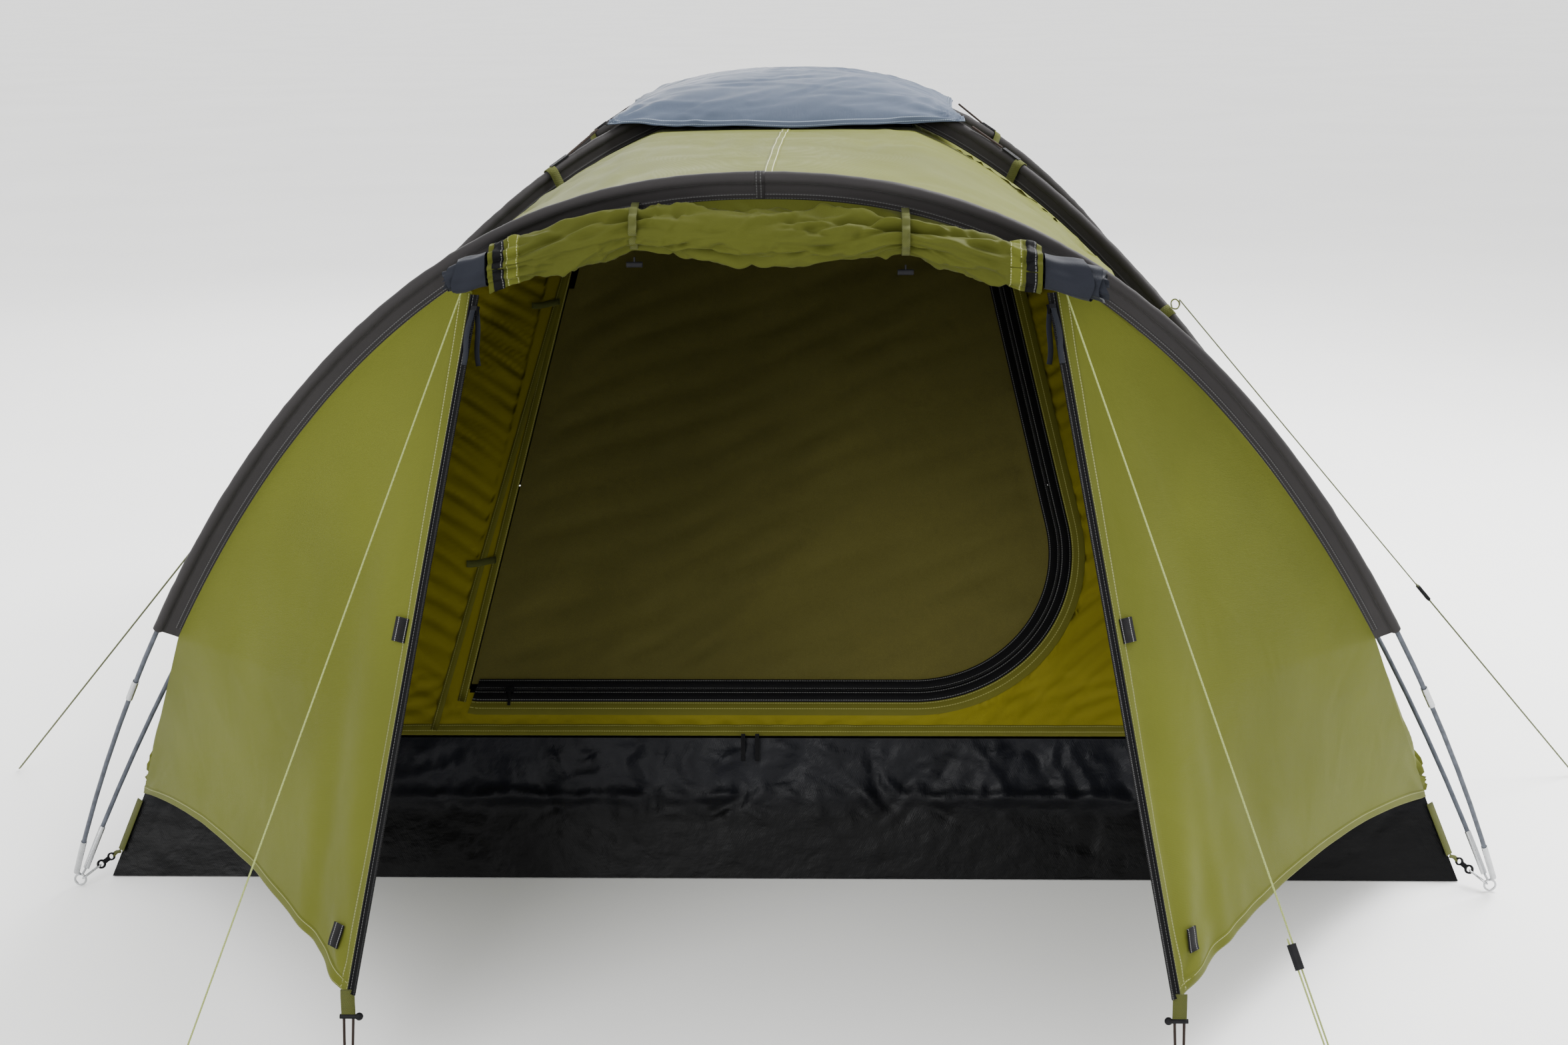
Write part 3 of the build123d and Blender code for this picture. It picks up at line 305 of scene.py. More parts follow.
# The third colour is the painted sheen on the upper tub walls.
tub_plastic = sheet_plastic("black groundsheet", (0.0006, 0.0006, 0.0008), (0.0062, 0.0066, 0.0090),
                            0.06, 0.19)
olive_webbing = webbing_material("olive webbing", (0.062, 0.068, 0.016))
black_webbing = webbing_material("black webbing", (0.006, 0.006, 0.007))
hook_tape = webbing_material("hook-and-loop patch", (0.0045, 0.0042, 0.0052), 0.0016, (0.24, 0.24, 0.24))
grey_ribbon = webbing_material("grey ribbon", (0.012, 0.014, 0.020), 0.0016)
flap_cloth = cloth_material("grey storm flap cloth", (0.0115, 0.013, 0.018), rough=0.5, crumple=0.001)
band_tape = cloth_material("black zip tape with stitches", (0.0028, 0.0028, 0.0032), rough=0.55, sheen=0.0,
                           crumple=0.0004, stitch_rows=(0.0028, 0.0165), thread=(0.085, 0.085, 0.085))
zip_teeth = zip_material("black zip coil", (0.005, 0.005, 0.0055))
steel = metal_material("bright steel", (0.42, 0.43, 0.44), 0.2)
black_metal = metal_material("black slider metal", (0.016, 0.016, 0.018), 0.32)
fibreglass = plastic_material("grey fibreglass pole", (0.058, 0.064, 0.078), 0.36)
black_plastic = plastic_material("black moulded plastic", (0.005, 0.005, 0.006))
elastic = cord_material("brown-black elastic", (0.020, 0.012, 0.009), 0.003)
pale_cord = cord_material("pale green guy cord", (0.24, 0.28, 0.09))
grey_cord = cord_material("olive-grey guy cord", (0.12, 0.13, 0.07))


# ---- curves and cloth grids ------------------------------------------------------------
def unit(v):
    return v / np.maximum(np.linalg.norm(v, axis=-1, keepdims=True), 1e-12)


def run_length(line):
    """Distance from the first point of a line to each of its points."""
    return np.concatenate([[0], np.cumsum(np.linalg.norm(np.diff(line, axis=0), axis=1))])


def calm_ends(count, gain):
    """Shares that rise from 0 to 1 at both ends of a row of points."""
    t = np.linspace(0, 1, count)
    return np.clip(np.minimum(t, 1 - t) * gain, 0, 1)


def angle_where(height_at, height):
    """The sweep angle at which a line from the crown has come down to a height."""
    low, high = 0.0, 90.0
    for _ in range(40):
        middle = (low + high) / 2
        low, high = (middle, high) if height_at(middle) > height else (low, middle)
    return low


class Arch:
    """The line of a bent pole, swept by an angle: 0 at the crown, -90 left foot, 90 right foot."""

    def __init__(self, base, across, up, half_span, rise, power, shape):
        self.base = np.array(base, float)
        self.across = unit(np.array(across, float))
        self.up = unit(np.array(up, float))
        self.out = np.cross(self.across, self.up)
        self.half_span, self.rise, self.power, self.shape = half_span, rise, power, shape

    def raw(self, angle):
        reach = np.sin(np.radians(angle))
        height = np.maximum(0.0, 1 - np.abs(reach) ** self.power) ** self.shape
        return self.half_span * reach, self.rise * height

    def flat(self, angle, inset=0.0):
        angle = np.asarray(angle, float)
        u, v = self.raw(angle)
        u0, v0 = self.raw(np.maximum(angle - 0.5, -90))
        u1, v1 = self.raw(np.minimum(angle + 0.5, 90))
        step = np.hypot(u1 - u0, v1 - v0)
        return u + inset * (v1 - v0) / step, v - inset * (u1 - u0) / step

    def point(self, angle, inset=0.0, side=0.0):
        u, v = self.flat(angle, inset)
        u, v, side = (np.asarray(a, float)[..., None] for a in (u, v, np.zeros_like(u) + side))
        return self.base + u * self.across + v * self.up + side * self.out

    def angle_at(self, height, inset=0.0):
        return angle_where(lambda angle: self.point(angle, inset)[2], height)


foot_x, foot_y = 1.195, 1.050
dome_rise, dome_power, dome_shape = 1.285, 2.09, 0.93
arch_foot_x, arch_rise, arch_lean, arch_power, arch_shape = 1.206, 1.242, 0.451, 2.27, 0.95
spread = math.hypot(foot_x, foot_y)
share_x, share_y = foot_x / spread, foot_y / spread
crossing_lift = 0.0085
arch_slope = math.hypot(arch_lean, arch_rise) / arch_rise
main_a = Arch((0, 0, 0), (share_x, share_y, 0), (0, 0, 1), spread, dome_rise, dome_power, dome_shape)
main_b = Arch((0, 0, 0), (share_x, -share_y, 0), (0, 0, 1), spread, dome_rise + crossing_lift,
              dome_power, dome_shape)
front_arch = Arch((0, -foot_y, 0), (1, 0, 0), (0, -arch_lean, arch_rise), arch_foot_x,
                  arch_rise * arch_slope, arch_power, arch_shape)
fin = 0.034
tub_height, vent_height = 0.230, 1.207


def seam(angle, depth=0.0):
    """Canopy seam of a main pole: distance from the tent's axis, and height."""
    size = np.abs(np.asarray(angle, float))
    return main_a.flat(size, fin + 0.026 * np.abs(np.sin(np.radians(size))) ** 12 + depth)


def seam_angle(height):
    return angle_where(lambda angle: seam(angle)[1], height)


low_angle, vent_angle = seam_angle(tub_height), seam_angle(vent_height)


def grid_normals(points):
    return unit(np.cross(np.gradient(points, axis=0), np.gradient(points, axis=1)))


def spans(points):
    """Distances along the rows and the columns of a grid, in metres, as two fields."""
    down = np.linalg.norm(np.diff(points, axis=0), axis=2)
    across = np.linalg.norm(np.diff(points, axis=1), axis=2)
    a = np.concatenate([np.zeros((1, points.shape[1])), np.cumsum(down, axis=0)])
    b = np.concatenate([np.zeros((points.shape[0], 1)), np.cumsum(across, axis=1)], axis=1)
    return a, b - b.mean(axis=1, keepdims=True)


def creases(a, b, seed, count, span, width, height, heading=None, spread_by=0.4):
    """A height field of many short soft creases over distances a and b."""
    rng = np.random.RandomState(seed)
    field = np.zeros_like(a)
    for _ in range(count):
        at_a, at_b = rng.uniform(a.min(), a.max()), rng.uniform(b.min(), b.max())
        turn = rng.uniform(0, math.pi) if heading is None else heading + rng.normal(0, spread_by)
        half, wide = span * rng.uniform(0.4, 1), width * rng.uniform(0.6, 1.5)
        along = (a - at_a) * math.cos(turn) + (b - at_b) * math.sin(turn)
        bow = rng.uniform(-0.2, 0.2) * half * (along / half) ** 2
        off = -(a - at_a) * math.sin(turn) + (b - at_b) * math.cos(turn) + bow
        fade = np.clip(1 - (along / half) ** 2, 0, 1) ** 2
        field += rng.choice([-1, 1]) * height * rng.uniform(0.4, 1) * np.exp(-(off / wide) ** 2) * fade
    return field


def gathers(a, b, heading, period, height, seed):
    """Long, nearly parallel wrinkles over distances a and b, each of which comes and goes."""
    rng = np.random.RandomState(seed)
    u = a * math.cos(heading) + b * math.sin(heading)
    w = b * math.cos(heading) - a * math.sin(heading)
    bend = sum(rng.uniform(-1, 1) * np.sin(
        u * rng.uniform(3, 13) + w * rng.uniform(2, 11) + rng.uniform(0, 6)) for _ in range(7))
    ridge = (0.5 + 0.5 * np.cos(2 * math.pi * w / period + 1.5 * bend)) ** 2
    fade = 0.5 + 0.5 * np.sin(u * 17 + 2.0 * bend) * np.sin(w * 23 + 1.3 * bend + 1)
    return height * ridge * fade


def pull(points, place, folds, reach, height, phase=0.0):
    """Folds that fan out from a point where the cloth is pulled."""
    away = points - np.array(place, float)
    distance = np.linalg.norm(away, axis=2)
    axis_a = unit(points.mean(axis=(0, 1)) - np.array(place, float))
    normal = unit(grid_normals(points).mean(axis=(0, 1)))
    axis_b = np.cross(normal, axis_a)
    turn = np.arctan2((away * axis_b).sum(2), (away * axis_a).sum(2))
    rise = np.clip(distance / (0.15 * reach), 0, 1)
    return height * rise * np.exp(-distance / reach) * np.cos(folds * turn + phase)


def make_mesh(name, verts, faces, uvs, material):
    data = bpy.data.meshes.new(name)
    data.from_pydata([tuple(v) for v in verts], [], faces)
    layer = data.uv_layers.new(name="UVMap")
    flat = np.array([uvs[loop.vertex_index] for loop in data.loops], float).reshape(-1)
    layer.data.foreach_set("uv", flat)
    data.polygons.foreach_set("use_smooth", [True] * len(data.polygons))
    data.materials.append(material)
    data.update()
    obj = bpy.data.objects.new(name, data)
    bpy.context.scene.collection.objects.link(obj)
    return obj


def grid_faces(rows, columns):
    """Corner numbers of a grid's four-sided faces, row by row."""
    index = np.arange(rows * columns).reshape(rows, columns)
    corners = (index[:-1, :-1], index[1:, :-1], index[1:, 1:], index[:-1, 1:])
    return np.stack(corners, axis=2).reshape(-1, 4)


def attach(obj, body, nodes=()):
    """Hide the CAD nodes that a piece stands for, and hang the piece on the empty of the body that it rides
    on.
    """
    if nodes:
        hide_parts(*nodes)
    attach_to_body(obj, body)
    return obj


claimed = set()


def once(node):
    """The node's name for the first piece of its group, and nothing for the rest."""
    names = () if node in claimed else (node,)
    claimed.add(node)
    return names


def tape_mesh(name, points, line, across, material, body, nodes=()):
    """A tape from its grid of points, with distances along and across it as its UV map."""
    uvs = np.stack(np.broadcast_arrays(run_length(line)[:, None], across[None, :]), axis=2)
    faces = grid_faces(*points.shape[:2]).tolist()
    obj = make_mesh(name, points.reshape(-1, 3), faces, uvs.reshape(-1, 2), material)
    return attach(obj, body, nodes)


class Cloth:
    """A grid of cloth points with its displaced surface, so that seams can be laid on it."""

    lift_sign = 1.0
    kept = 1.0

    def __init__(self, points, field=None):
        self.flat_points = points
        self.normals = grid_normals(points)
        self.points = points if field is None else points + self.normals * field[..., None]
        self.rows, self.columns = points.shape[:2]

    def build(self, name, material, keep=None, body=tent, nodes=()):
        quads = grid_faces(self.rows, self.columns)
        if keep is not None:
            self.kept = keep
            quads = quads[keep.reshape(-1)]
        a, b = spans(self.flat_points)
        used, inverse = np.unique(quads, return_inverse=True)
        verts = self.points.reshape(-1, 3)[used]
        uvs = np.stack([a.reshape(-1)[used], b.reshape(-1)[used]], axis=1)
        obj = make_mesh(name, verts, inverse.reshape(-1, 4).tolist(), uvs, material)
        return attach(obj, body, nodes)

    def at(self, r, c, lift=0.0):
        """Points on the displaced surface at fractional rows and columns."""
        r = np.clip(np.asarray(r, float), 0, self.rows - 1.0001)
        c = np.clip(np.asarray(c, float), 0, self.columns - 1.0001)
        i, j = r.astype(int), c.astype(int)
        fr, fc = (r - i)[..., None], (c - j)[..., None]

        def mixed(grid):
            top = grid[i, j] * (1 - fc) + grid[i, j + 1] * fc
            low = grid[i + 1, j] * (1 - fc) + grid[i + 1, j + 1] * fc
            return top * (1 - fr) + low * fr

        return mixed(self.points) + lift * unit(mixed(self.normals))

    def strip(self, name, rows, columns, width, material, lift=0.0007, body=tent):
        """A tape along a path of grid places."""
        rows, columns = np.asarray(rows, float), np.asarray(columns, float)
        small = 0.25
        dr = (self.at(rows + small, columns) - self.at(rows - small, columns)) / (2 * small)
        dc = (self.at(rows, columns + small) - self.at(rows, columns - small)) / (2 * small)
        line = self.at(rows, columns)
        tangent = unit(np.gradient(line, axis=0))
        normal = unit(np.cross(dr, dc))
        across = np.cross(normal, tangent)
        rr, cc, rc = (dr * dr).sum(1), (dc * dc).sum(1), (dr * dc).sum(1)
        ar, ac = (across * dr).sum(1), (across * dc).sum(1)
        size = np.maximum(rr * cc - rc * rc, 1e-14)
        step_r, step_c = (ar * cc - ac * rc) / size, (ac * rr - ar * rc) / size
        shares = np.array([0.0, 0.04, 0.35, 0.65, 0.96, 1.0])
        lifts = np.array([-0.0004, lift, lift, lift, lift, -0.0004])
        layers = []
        for share, height in zip(shares, lifts):
            off = (share - 0.5) * width
            layers.append(self.at(rows + step_r * off, columns + step_c * off, self.lift_sign * height))
        return tape_mesh(name, np.stack(layers, axis=1), line, shares * width, material, body)

    def face(self, towards):
        """Point the normals' lift towards a place outside the tent."""
        middle = self.points[self.rows // 2, self.columns // 2]
        normal = self.normals[self.rows // 2, self.columns // 2]
        self.lift_sign = 1.0 if np.dot(np.array(towards, float) - middle, normal) > 0 else -1.0
        return self


def strap(name, centre, side, width, thickness, material, body=tent, nodes=()):
    """A flat strap with rounded edges along centre points, its width along side."""
    centre = np.array(centre, float)
    side = unit(np.broadcast_to(np.array(side, float), centre.shape))
    tangent = unit(np.gradient(centre, axis=0))
    side = unit(side - tangent * (side * tangent).sum(1, keepdims=True))
    normal = np.cross(tangent, side)
    half, thick = width / 2, thickness / 2
    edge = min(thick, half) * 0.6
    shape = [(-half, 0), (-half + edge, thick), (half - edge, thick), (half, 0),
             (half - edge, -thick), (-half + edge, -thick)]
    loops = np.stack([centre + side * a + normal * b for a, b in shape], axis=1)
    length = run_length(centre)
    count, wide = loops.shape[:2]
    faces = []
    for i in range(count - 1):
        for j in range(wide):
            k = (j + 1) % wide
            faces.append((i * wide + j, (i + 1) * wide + j, (i + 1) * wide + k, i * wide + k))
    faces.append(tuple(range(wide))[::-1])
    faces.append(tuple((count - 1) * wide + j for j in range(wide)))
    uvs = [(length[i], shape[j][0] + half) for i in range(count) for j in range(wide)]
    obj = make_mesh(name, loops.reshape(-1, 3), faces, uvs, material)
    return attach(obj, body, nodes)


# ---- cords -----------------------------------------------------------------------------
def cord_object(name, route, radius, material, node):
    data = bpy.data.curves.new(name, "CURVE")
    data.dimensions = "3D"
    data.bevel_depth = radius
    data.bevel_resolution = 4
    data.resolution_u = 16
    data.use_fill_caps = True
    spline = data.splines.new("NURBS")
    spline.points.add(len(route) - 1)
    for point, place in zip(spline.points, route):
        point.co = (*place, 1)
    spline.order_u = 3
    spline.use_endpoint_u = True
    data.materials.append(material)
    obj = bpy.data.objects.new(name, data)
    bpy.context.scene.collection.objects.link(obj)
    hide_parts(node)
    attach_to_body(obj, tent)
    return obj


guy_routes = {
    "front_guy_line_left": [(-0.42172, -1.47416, 1.08199), (-0.795, -2.05, 0.004),
                            (-0.80003, -2.04674, 0.004), (-0.7554, -1.97789, 0.13289)],
    "front_guy_line_right": [(0.42172, -1.47416, 1.08199), (0.795, -2.05, 0.004),
                             (0.78997, -2.05326, 0.004), (0.68748, -1.89516, 0.29998)],
    "side_guy_line_left": [(-0.70378, -0.61839, 0.93535), (-1.5, -0.5, 0.004),
                           (-1.49912, -0.49407, 0.004), (-1.00124, -0.56809, 0.58638)],
    "side_guy_line_right": [(0.70378, -0.61839, 0.93535), (1.5, -0.5, 0.004),
                            (1.50088, -0.50593, 0.004), (1.16623, -0.55569, 0.39545)],
}
guy_diameter = 0.0025
elastic_route = ((0.5685, -1.7534, 0.1074), (0.57, -1.7794, 0.004), (0.58, -1.7794, 0.004),
                 (0.5815, -1.7534, 0.1074))
elastic_length, elastic_diameter = 0.2196, 0.004


def beside(place, towards, step=0.006):
    """A point one step from a place, so that the line stays straight up to its turn."""
    away = Vector(towards) - Vector(place)
    return tuple(Vector(place) + away.normalized() * step)


def make_guys():
    for node, (ring, peg, back, knot) in guy_routes.items():
        material = pale_cord if "front" in node else grey_cord
        route = [ring, beside(peg, ring), peg, back, beside(back, knot), knot]
        obj = cord_object(node.replace("_", "-"), route, guy_diameter / 2, material, node)
    for side, sign in (("left", -1), ("right", 1)):
        route = [(sign * x, y, z) for x, y, z in elastic_route]
        obj = cord_object(f"porch-corner-elastic-{side}", route, elastic_diameter / 2, elastic,
                          f"porch_corner_elastic_{side}")


make_guys()


# ---- sleeves ---------------------------------------------------------------------------
def sleeve(name, arch, start, end, seed, node):
    """A pole channel with a fin down to the canopy seam, puckered along its stitching."""
    angles = np.linspace(start, end, 170)
    phases = np.random.RandomState(seed).uniform(0, 6.28, 6)
    length = run_length(arch.point(angles))
    pucker = sum(np.sin(length * k + p) for k, p in zip((37, 61, 88, 130, 175, 240), phases)) / 6
    radius = 0.0078 + 0.0007 * pucker
    fins = np.linspace(fin, 0.0075, 6)
    sway = 0.0016 * np.sin(length * 9 + phases[0])

    def fin_row(inset, side):
        swell = 0.0007 + 0.0022 * np.sin(math.pi * (fin - inset) / fin * 0.5) ** 2
        return arch.point(angles, inset, side * (swell + 0.0004 * pucker) + sway * inset / fin)

    rows = [fin_row(inset, -1) for inset in fins]
    rows += [arch.point(angles, -radius * np.cos(turn) * 1.05, radius * np.sin(turn))
             for turn in np.linspace(-math.pi / 2 - 1.1, math.pi / 2 + 1.1, 19)]
    rows += [fin_row(inset, 1) for inset in fins[::-1]]
    points = np.stack(rows, axis=0)
    a, b = spans(points)
    cloth = Cloth(points, creases(b, a, seed, 90, 0.05, 0.006, 0.0009))
    obj = cloth.build(name, sleeve_cloth, nodes=(node,))
    line = np.linspace(1, cloth.columns - 2, 150)
    for place, label, side in ((1.2, "front", -1), (cloth.rows - 2.2, "back", 1)):
        cloth.lift_sign = 1.0 if np.dot(cloth.normals[int(place), 80], arch.out * side) > 0 else -1.0
        cloth.strip(f"{name}-seam-{label}", np.full(150, place), line, 0.0105, sleeve_seam,
                                 0.0005)
    if start == -end:
        crown = np.linspace(0.5, cloth.rows - 1.5, 60)
        cloth.strip(f"{name}-crown-join", crown, np.full(60, 84.5), 0.014, sleeve_seam,
                                 0.0008)


arch_sleeve_height, main_sleeve_height = 0.50, 0.40
arch_end = front_arch.angle_at(arch_sleeve_height, fin)
main_end = main_a.angle_at(main_sleeve_height)
crown_gap = 4.0             # degrees from the crossing to each main sleeve


def make_sleeves():
    sleeve("arch-sleeve", front_arch, -arch_end, arch_end, 3, "arch_sleeve")
    for label, arch, seed in (("a", main_a, 5), ("b", main_b, 9)):
        for side, sign in (("left", -1), ("right", 1)):
            sleeve(f"main-sleeve-{label}-{side}", arch, sign * crown_gap, sign * main_end, seed + sign,
                   f"main_sleeve_{label}")


make_sleeves()


# ---- dome walls ------------------------------------------------------------------------
grid_corners = ((0, 0), (0, -1), (-1, 0), (-1, -1))


def wall_points(share, across_share, rows, columns):
    angles = np.linspace(vent_angle, low_angle, rows)
    reach, height = seam(angles)
    v = np.linspace(-1, 1, columns)
    out = np.broadcast_to((reach * share)[:, None], (rows, columns))
    aside = (reach * across_share)[:, None] * v[None, :]
    up = np.broadcast_to(height[:, None], (rows, columns))
    hollow = 0.022 * (1 - v[None, :] ** 2) * np.sin(np.linspace(0, math.pi, rows))[:, None]
    return out - hollow, aside, up


def turned(out, aside, up, turn):
    """Points from distances out, aside and up, turned about the tent's axis."""
    c, s = math.cos(turn), math.sin(turn)
    return np.stack([out * c - aside * s, out * s + aside * c, up], axis=2)


def dome_wall(name, node, turn, share, across_share, seed):
    rows, columns = 90, 140
    points = turned(*wall_points(share, across_share, rows, columns), turn)
    a, b = spans(points)
    field = creases(a, b, seed, 40, 0.45, 0.03, 0.0022) + creases(a, b, seed + 50, 160, 0.10, 0.008, 0.0008)
    for corner in grid_corners:
        field = field + pull(points, points[corner], 14, 0.22, 0.007)
    cloth = Cloth(points, field * calm_ends(rows, 14)[:, None])
    obj = cloth.build(name, canopy, nodes=(node,))
    cloth.face((4 * math.cos(turn), 4 * math.sin(turn), 0.6))
    line = np.linspace(0.5, 138.5, 200)
    hem = cloth.strip(f"{name}-hem", np.full(200, 88.2), line, 0.02, hem_cloth, 0.0008)
    top = cloth.strip(f"{name}-vent-hem", np.full(200, 0.9), line, 0.018, hem_cloth, 0.0008)
    middle = cloth.strip(f"{name}-panel-seam", np.linspace(1, 88, 160), np.full(160, 69.5), 0.018,
                         canopy_seam, 0.0008)


def make_dome():
    dome_wall("right-wall", "right_wall", 0.0, share_x, share_y, 21)
    dome_wall("left-wall", "left_wall", math.pi, share_x, share_y, 33)
    dome_wall("rear-wall", "rear_wall", math.pi / 2, share_y, share_x, 45)


make_dome()


# ---- groundsheet -----------------------------------------------------------------------
def make_groundsheet():
    """A floor with folded-up walls: each side is one grid that shares its corners with the next."""
    low, high = seam(90.0)[0], seam(low_angle)[0]
    sides = (("front", -math.pi / 2, share_y, share_x, 61), ("right", 0.0, share_x, share_y, 62),
             ("rear", math.pi / 2, share_y, share_x, 63), ("left", math.pi, share_x, share_y, 64))
    rows, columns = 44, 260
    for label, turn, sx, sy, seed in sides:
        up = np.linspace(0, 1, rows)
        reach = low + (high - low) * up
        v = np.linspace(-1, 1, columns)
        out = np.broadcast_to((reach * sx)[:, None], (rows, columns))
        aside = (reach * sy)[:, None] * v[None, :]
        height = np.broadcast_to((0.001 + up * (tub_height - 0.004))[:, None], (rows, columns))
        points = turned(out, aside, height, turn)
        a, b = spans(points)
        fold = -0.009 * np.exp(-((up[:, None] - 0.58) / 0.05) ** 2) * (0.6 + 0.4 * np.sin(b * 7 + seed))
        loose = 0.22 + 0.78 * np.clip((up[:, None] - 0.45) / 0.2 + 0.5 * np.exp(-(b / 0.35) ** 2), 0, 1)
        field = creases(a, b, seed, 240, 0.11, 0.010, 0.0075, 0.0, 0.9)
        field = fold + loose * (field + creases(a, b, seed + 9, 420, 0.05, 0.006, 0.0036))
        edge = calm_ends(rows, 9)[:, None] * np.clip((1 - np.abs(v))[None, :] * 20, 0, 1)
        cloth = Cloth(points, field * edge)
        nodes = ("groundsheet",) if label == "front" else ()
        obj = cloth.build(f"groundsheet-{label}", tub_plastic, nodes=nodes)
    rows, columns = 120, 140
    x = np.linspace(-1, 1, columns)[None, :] * low * share_x
    y = np.linspace(-1, 1, rows)[:, None] * low * share_y
    points = np.stack(np.broadcast_arrays(x, y, np.full((rows, columns), 0.001)), axis=2)
    a, b = spans(points)
    lumps = np.abs(creases(a, b, 71, 260, 0.25, 0.02, 0.004))
    cloth = Cloth(points, lumps * np.sign(grid_normals(points)[..., 2]))
    obj = cloth.build("groundsheet-floor", tub_plastic)


make_groundsheet()


# ---- roof vent and top cover -----------------------------------------------------------
def pavilion(reach, lift, count, sharpness=8.0):
    p = np.linspace(-1, 1, count)[None, :]
    q = np.linspace(-1, 1, count)[:, None]
    ridge = ((np.abs(p) ** sharpness + np.abs(q) ** sharpness) / 2) ** (1 / sharpness)
    height = main_a.flat(np.degrees(np.arcsin(np.minimum(1, ridge * reach / spread))))[1] + lift
    return np.stack(np.broadcast_arrays(p * reach * share_x, q * reach * share_y, height), axis=2)


def make_roof():
    points = pavilion(seam(vent_angle)[0] * 0.985, -fin - 0.001, 60)
    cloth = Cloth(points)
    obj = cloth.build("roof-vent-mesh", vent_mesh, nodes=("roof_vent_mesh",))
    points = pavilion(0.285 * spread, 0.0165 + crossing_lift, 120)
    a, b = spans(points)
    share = np.abs(np.linspace(-1, 1, 120))
    near_edge = np.maximum(share[None, :], share[:, None])
    near_corner = np.minimum(share[None, :], share[:, None])
    droop = -0.024 * near_edge ** 9 * (1 - near_corner ** 3) * np.sign(grid_normals(points)[60, 60, 2])
    wave = droop + 0.002 * np.sin(b * 30 + 1.0) * near_edge ** 8
    field = wave + creases(a, b, 81, 90, 0.20, 0.009, 0.0030, 1.35, 0.30)
    field = field + creases(a, b, 82, 260, 0.08, 0.005, 0.0011, 1.3, 0.6)
    for corner in grid_corners:
        field = field + pull(points, points[corner], 16, 0.10, 0.006)
    cloth = Cloth(points, field)
    obj = cloth.build("top-cover", cover_cloth, nodes=("top_cover",))
    cloth.face((0, 0, 9))
    line = np.linspace(0.3, 118.7, 200)
    for label, r, c in (("front", np.full(200, 1.1), line), ("rear", np.full(200, 117.9), line),
                        ("left", line, np.full(200, 1.1)), ("right", line, np.full(200, 117.9))):
        cloth.strip(f"top-cover-hem-{label}", r, c, 0.0135, cover_hem, 0.0007)


make_roof()


# ---- inner front wall, its door and zip ------------------------------------------------
wall_low_y = -seam(low_angle)[0] * share_y
wall_high_y = -seam(vent_angle)[0] * share_y
wall_up = unit(np.array([0.0, wall_high_y - wall_low_y, vent_height - tub_height]))
wall_out = np.cross(np.array([1.0, 0, 0]), wall_up)
wall_out = wall_out if wall_out[1] < 0 else -wall_out
wall_origin = np.array([0.0, wall_low_y, tub_height])
door_low, door_high = 0.082, 1.030
hinge_low_x, hinge_high_x, door_low_x, door_high_x = -0.541, -0.377, 0.545, 0.372
door_low_radius, door_high_radius = 0.262, 0.150


def on_wall(x, up, out=0.0):
    x, up, out = np.broadcast_arrays(np.asarray(x, float), up, out)
    aside = x[..., None] * np.array([1.0, 0, 0])
    return wall_origin + aside + up[..., None] * wall_up + out[..., None] * wall_out


def rounded(corners, radii, step=0.006):
    """Points along a closed outline with round corners, from the first corner on."""
    corners = [np.array(c, float) for c in corners]
    path = []
    for i, (corner, radius) in enumerate(zip(corners, radii)):
        before, after = corners[i - 1], corners[(i + 1) % len(corners)]
        a, b = unit(before - corner), unit(after - corner)
        half = math.acos(np.clip(np.dot(a, b), -1, 1)) / 2
        centre = corner + unit(a + b) * radius / math.sin(half)
        start, end = corner + a * radius / math.tan(half), corner + b * radius / math.tan(half)
        t0 = math.atan2(*(start - centre)[::-1])
        sweep = (math.atan2(*(end - centre)[::-1]) - t0 + math.pi) % (2 * math.pi) - math.pi
        count = max(3, int(abs(sweep) * radius / step))
        for turn in np.linspace(t0, t0 + sweep, count + 1):
            path.append(centre + radius * np.array([math.cos(turn), math.sin(turn)]))
    return np.array(path)


door_corners = [(hinge_low_x, door_low), (door_low_x, door_low),
                (door_high_x, door_high), (hinge_high_x, door_high)]
door_path = rounded(door_corners, [0.012, door_low_radius, door_high_radius, 0.012])


def even(points, step):
    """The same line with evenly spaced points."""
    s = run_length(points)
    t = np.linspace(0, s[-1], max(2, int(s[-1] / step)))
    return np.stack([np.interp(t, s, points[:, k]) for k in range(points.shape[1])], axis=1)


door_open_path = even(door_path, 0.006)
door_tangent = unit(np.gradient(door_open_path, axis=0))
door_normal = np.stack([door_tangent[:, 1], -door_tangent[:, 0]], axis=1)


def inside(x, up, grow):
    """True where a place on the wall is inside the door's outline grown by a distance."""
    loop = door_open_path + door_normal * grow
    result = np.zeros(np.broadcast(x, up).shape, bool)
    for p, q in zip(loop, np.roll(loop, -1, axis=0)):
        crosses = (p[1] > up) != (q[1] > up)
        edge = (q[0] - p[0]) * (up - p[1]) / (q[1] - p[1] + 1e-15) + p[0]
        result ^= crosses & (x < edge)
    return result


def hinge_x(up):
    return hinge_low_x + (hinge_high_x - hinge_low_x) * (up - door_low) / (door_high - door_low)


def taper_strip(name, low, high, out, material, body, nodes=()):
    """A tape along the door's outline between two distances outside it."""
    path, normal = door_open_path[3:-4], door_normal[3:-4]
    shares = np.array([0, 0.05, 0.5, 0.95, 1.0])
    heights = out + np.array([-0.0008, 0, 0, 0, -0.0008])
    layers = [on_wall(*(path + normal * (low + (high - low) * s)).T, h) for s, h in zip(shares, heights)]
    points = np.stack(layers, axis=1)
    return tape_mesh(name, points, path, shares * abs(high - low), material, body, nodes)


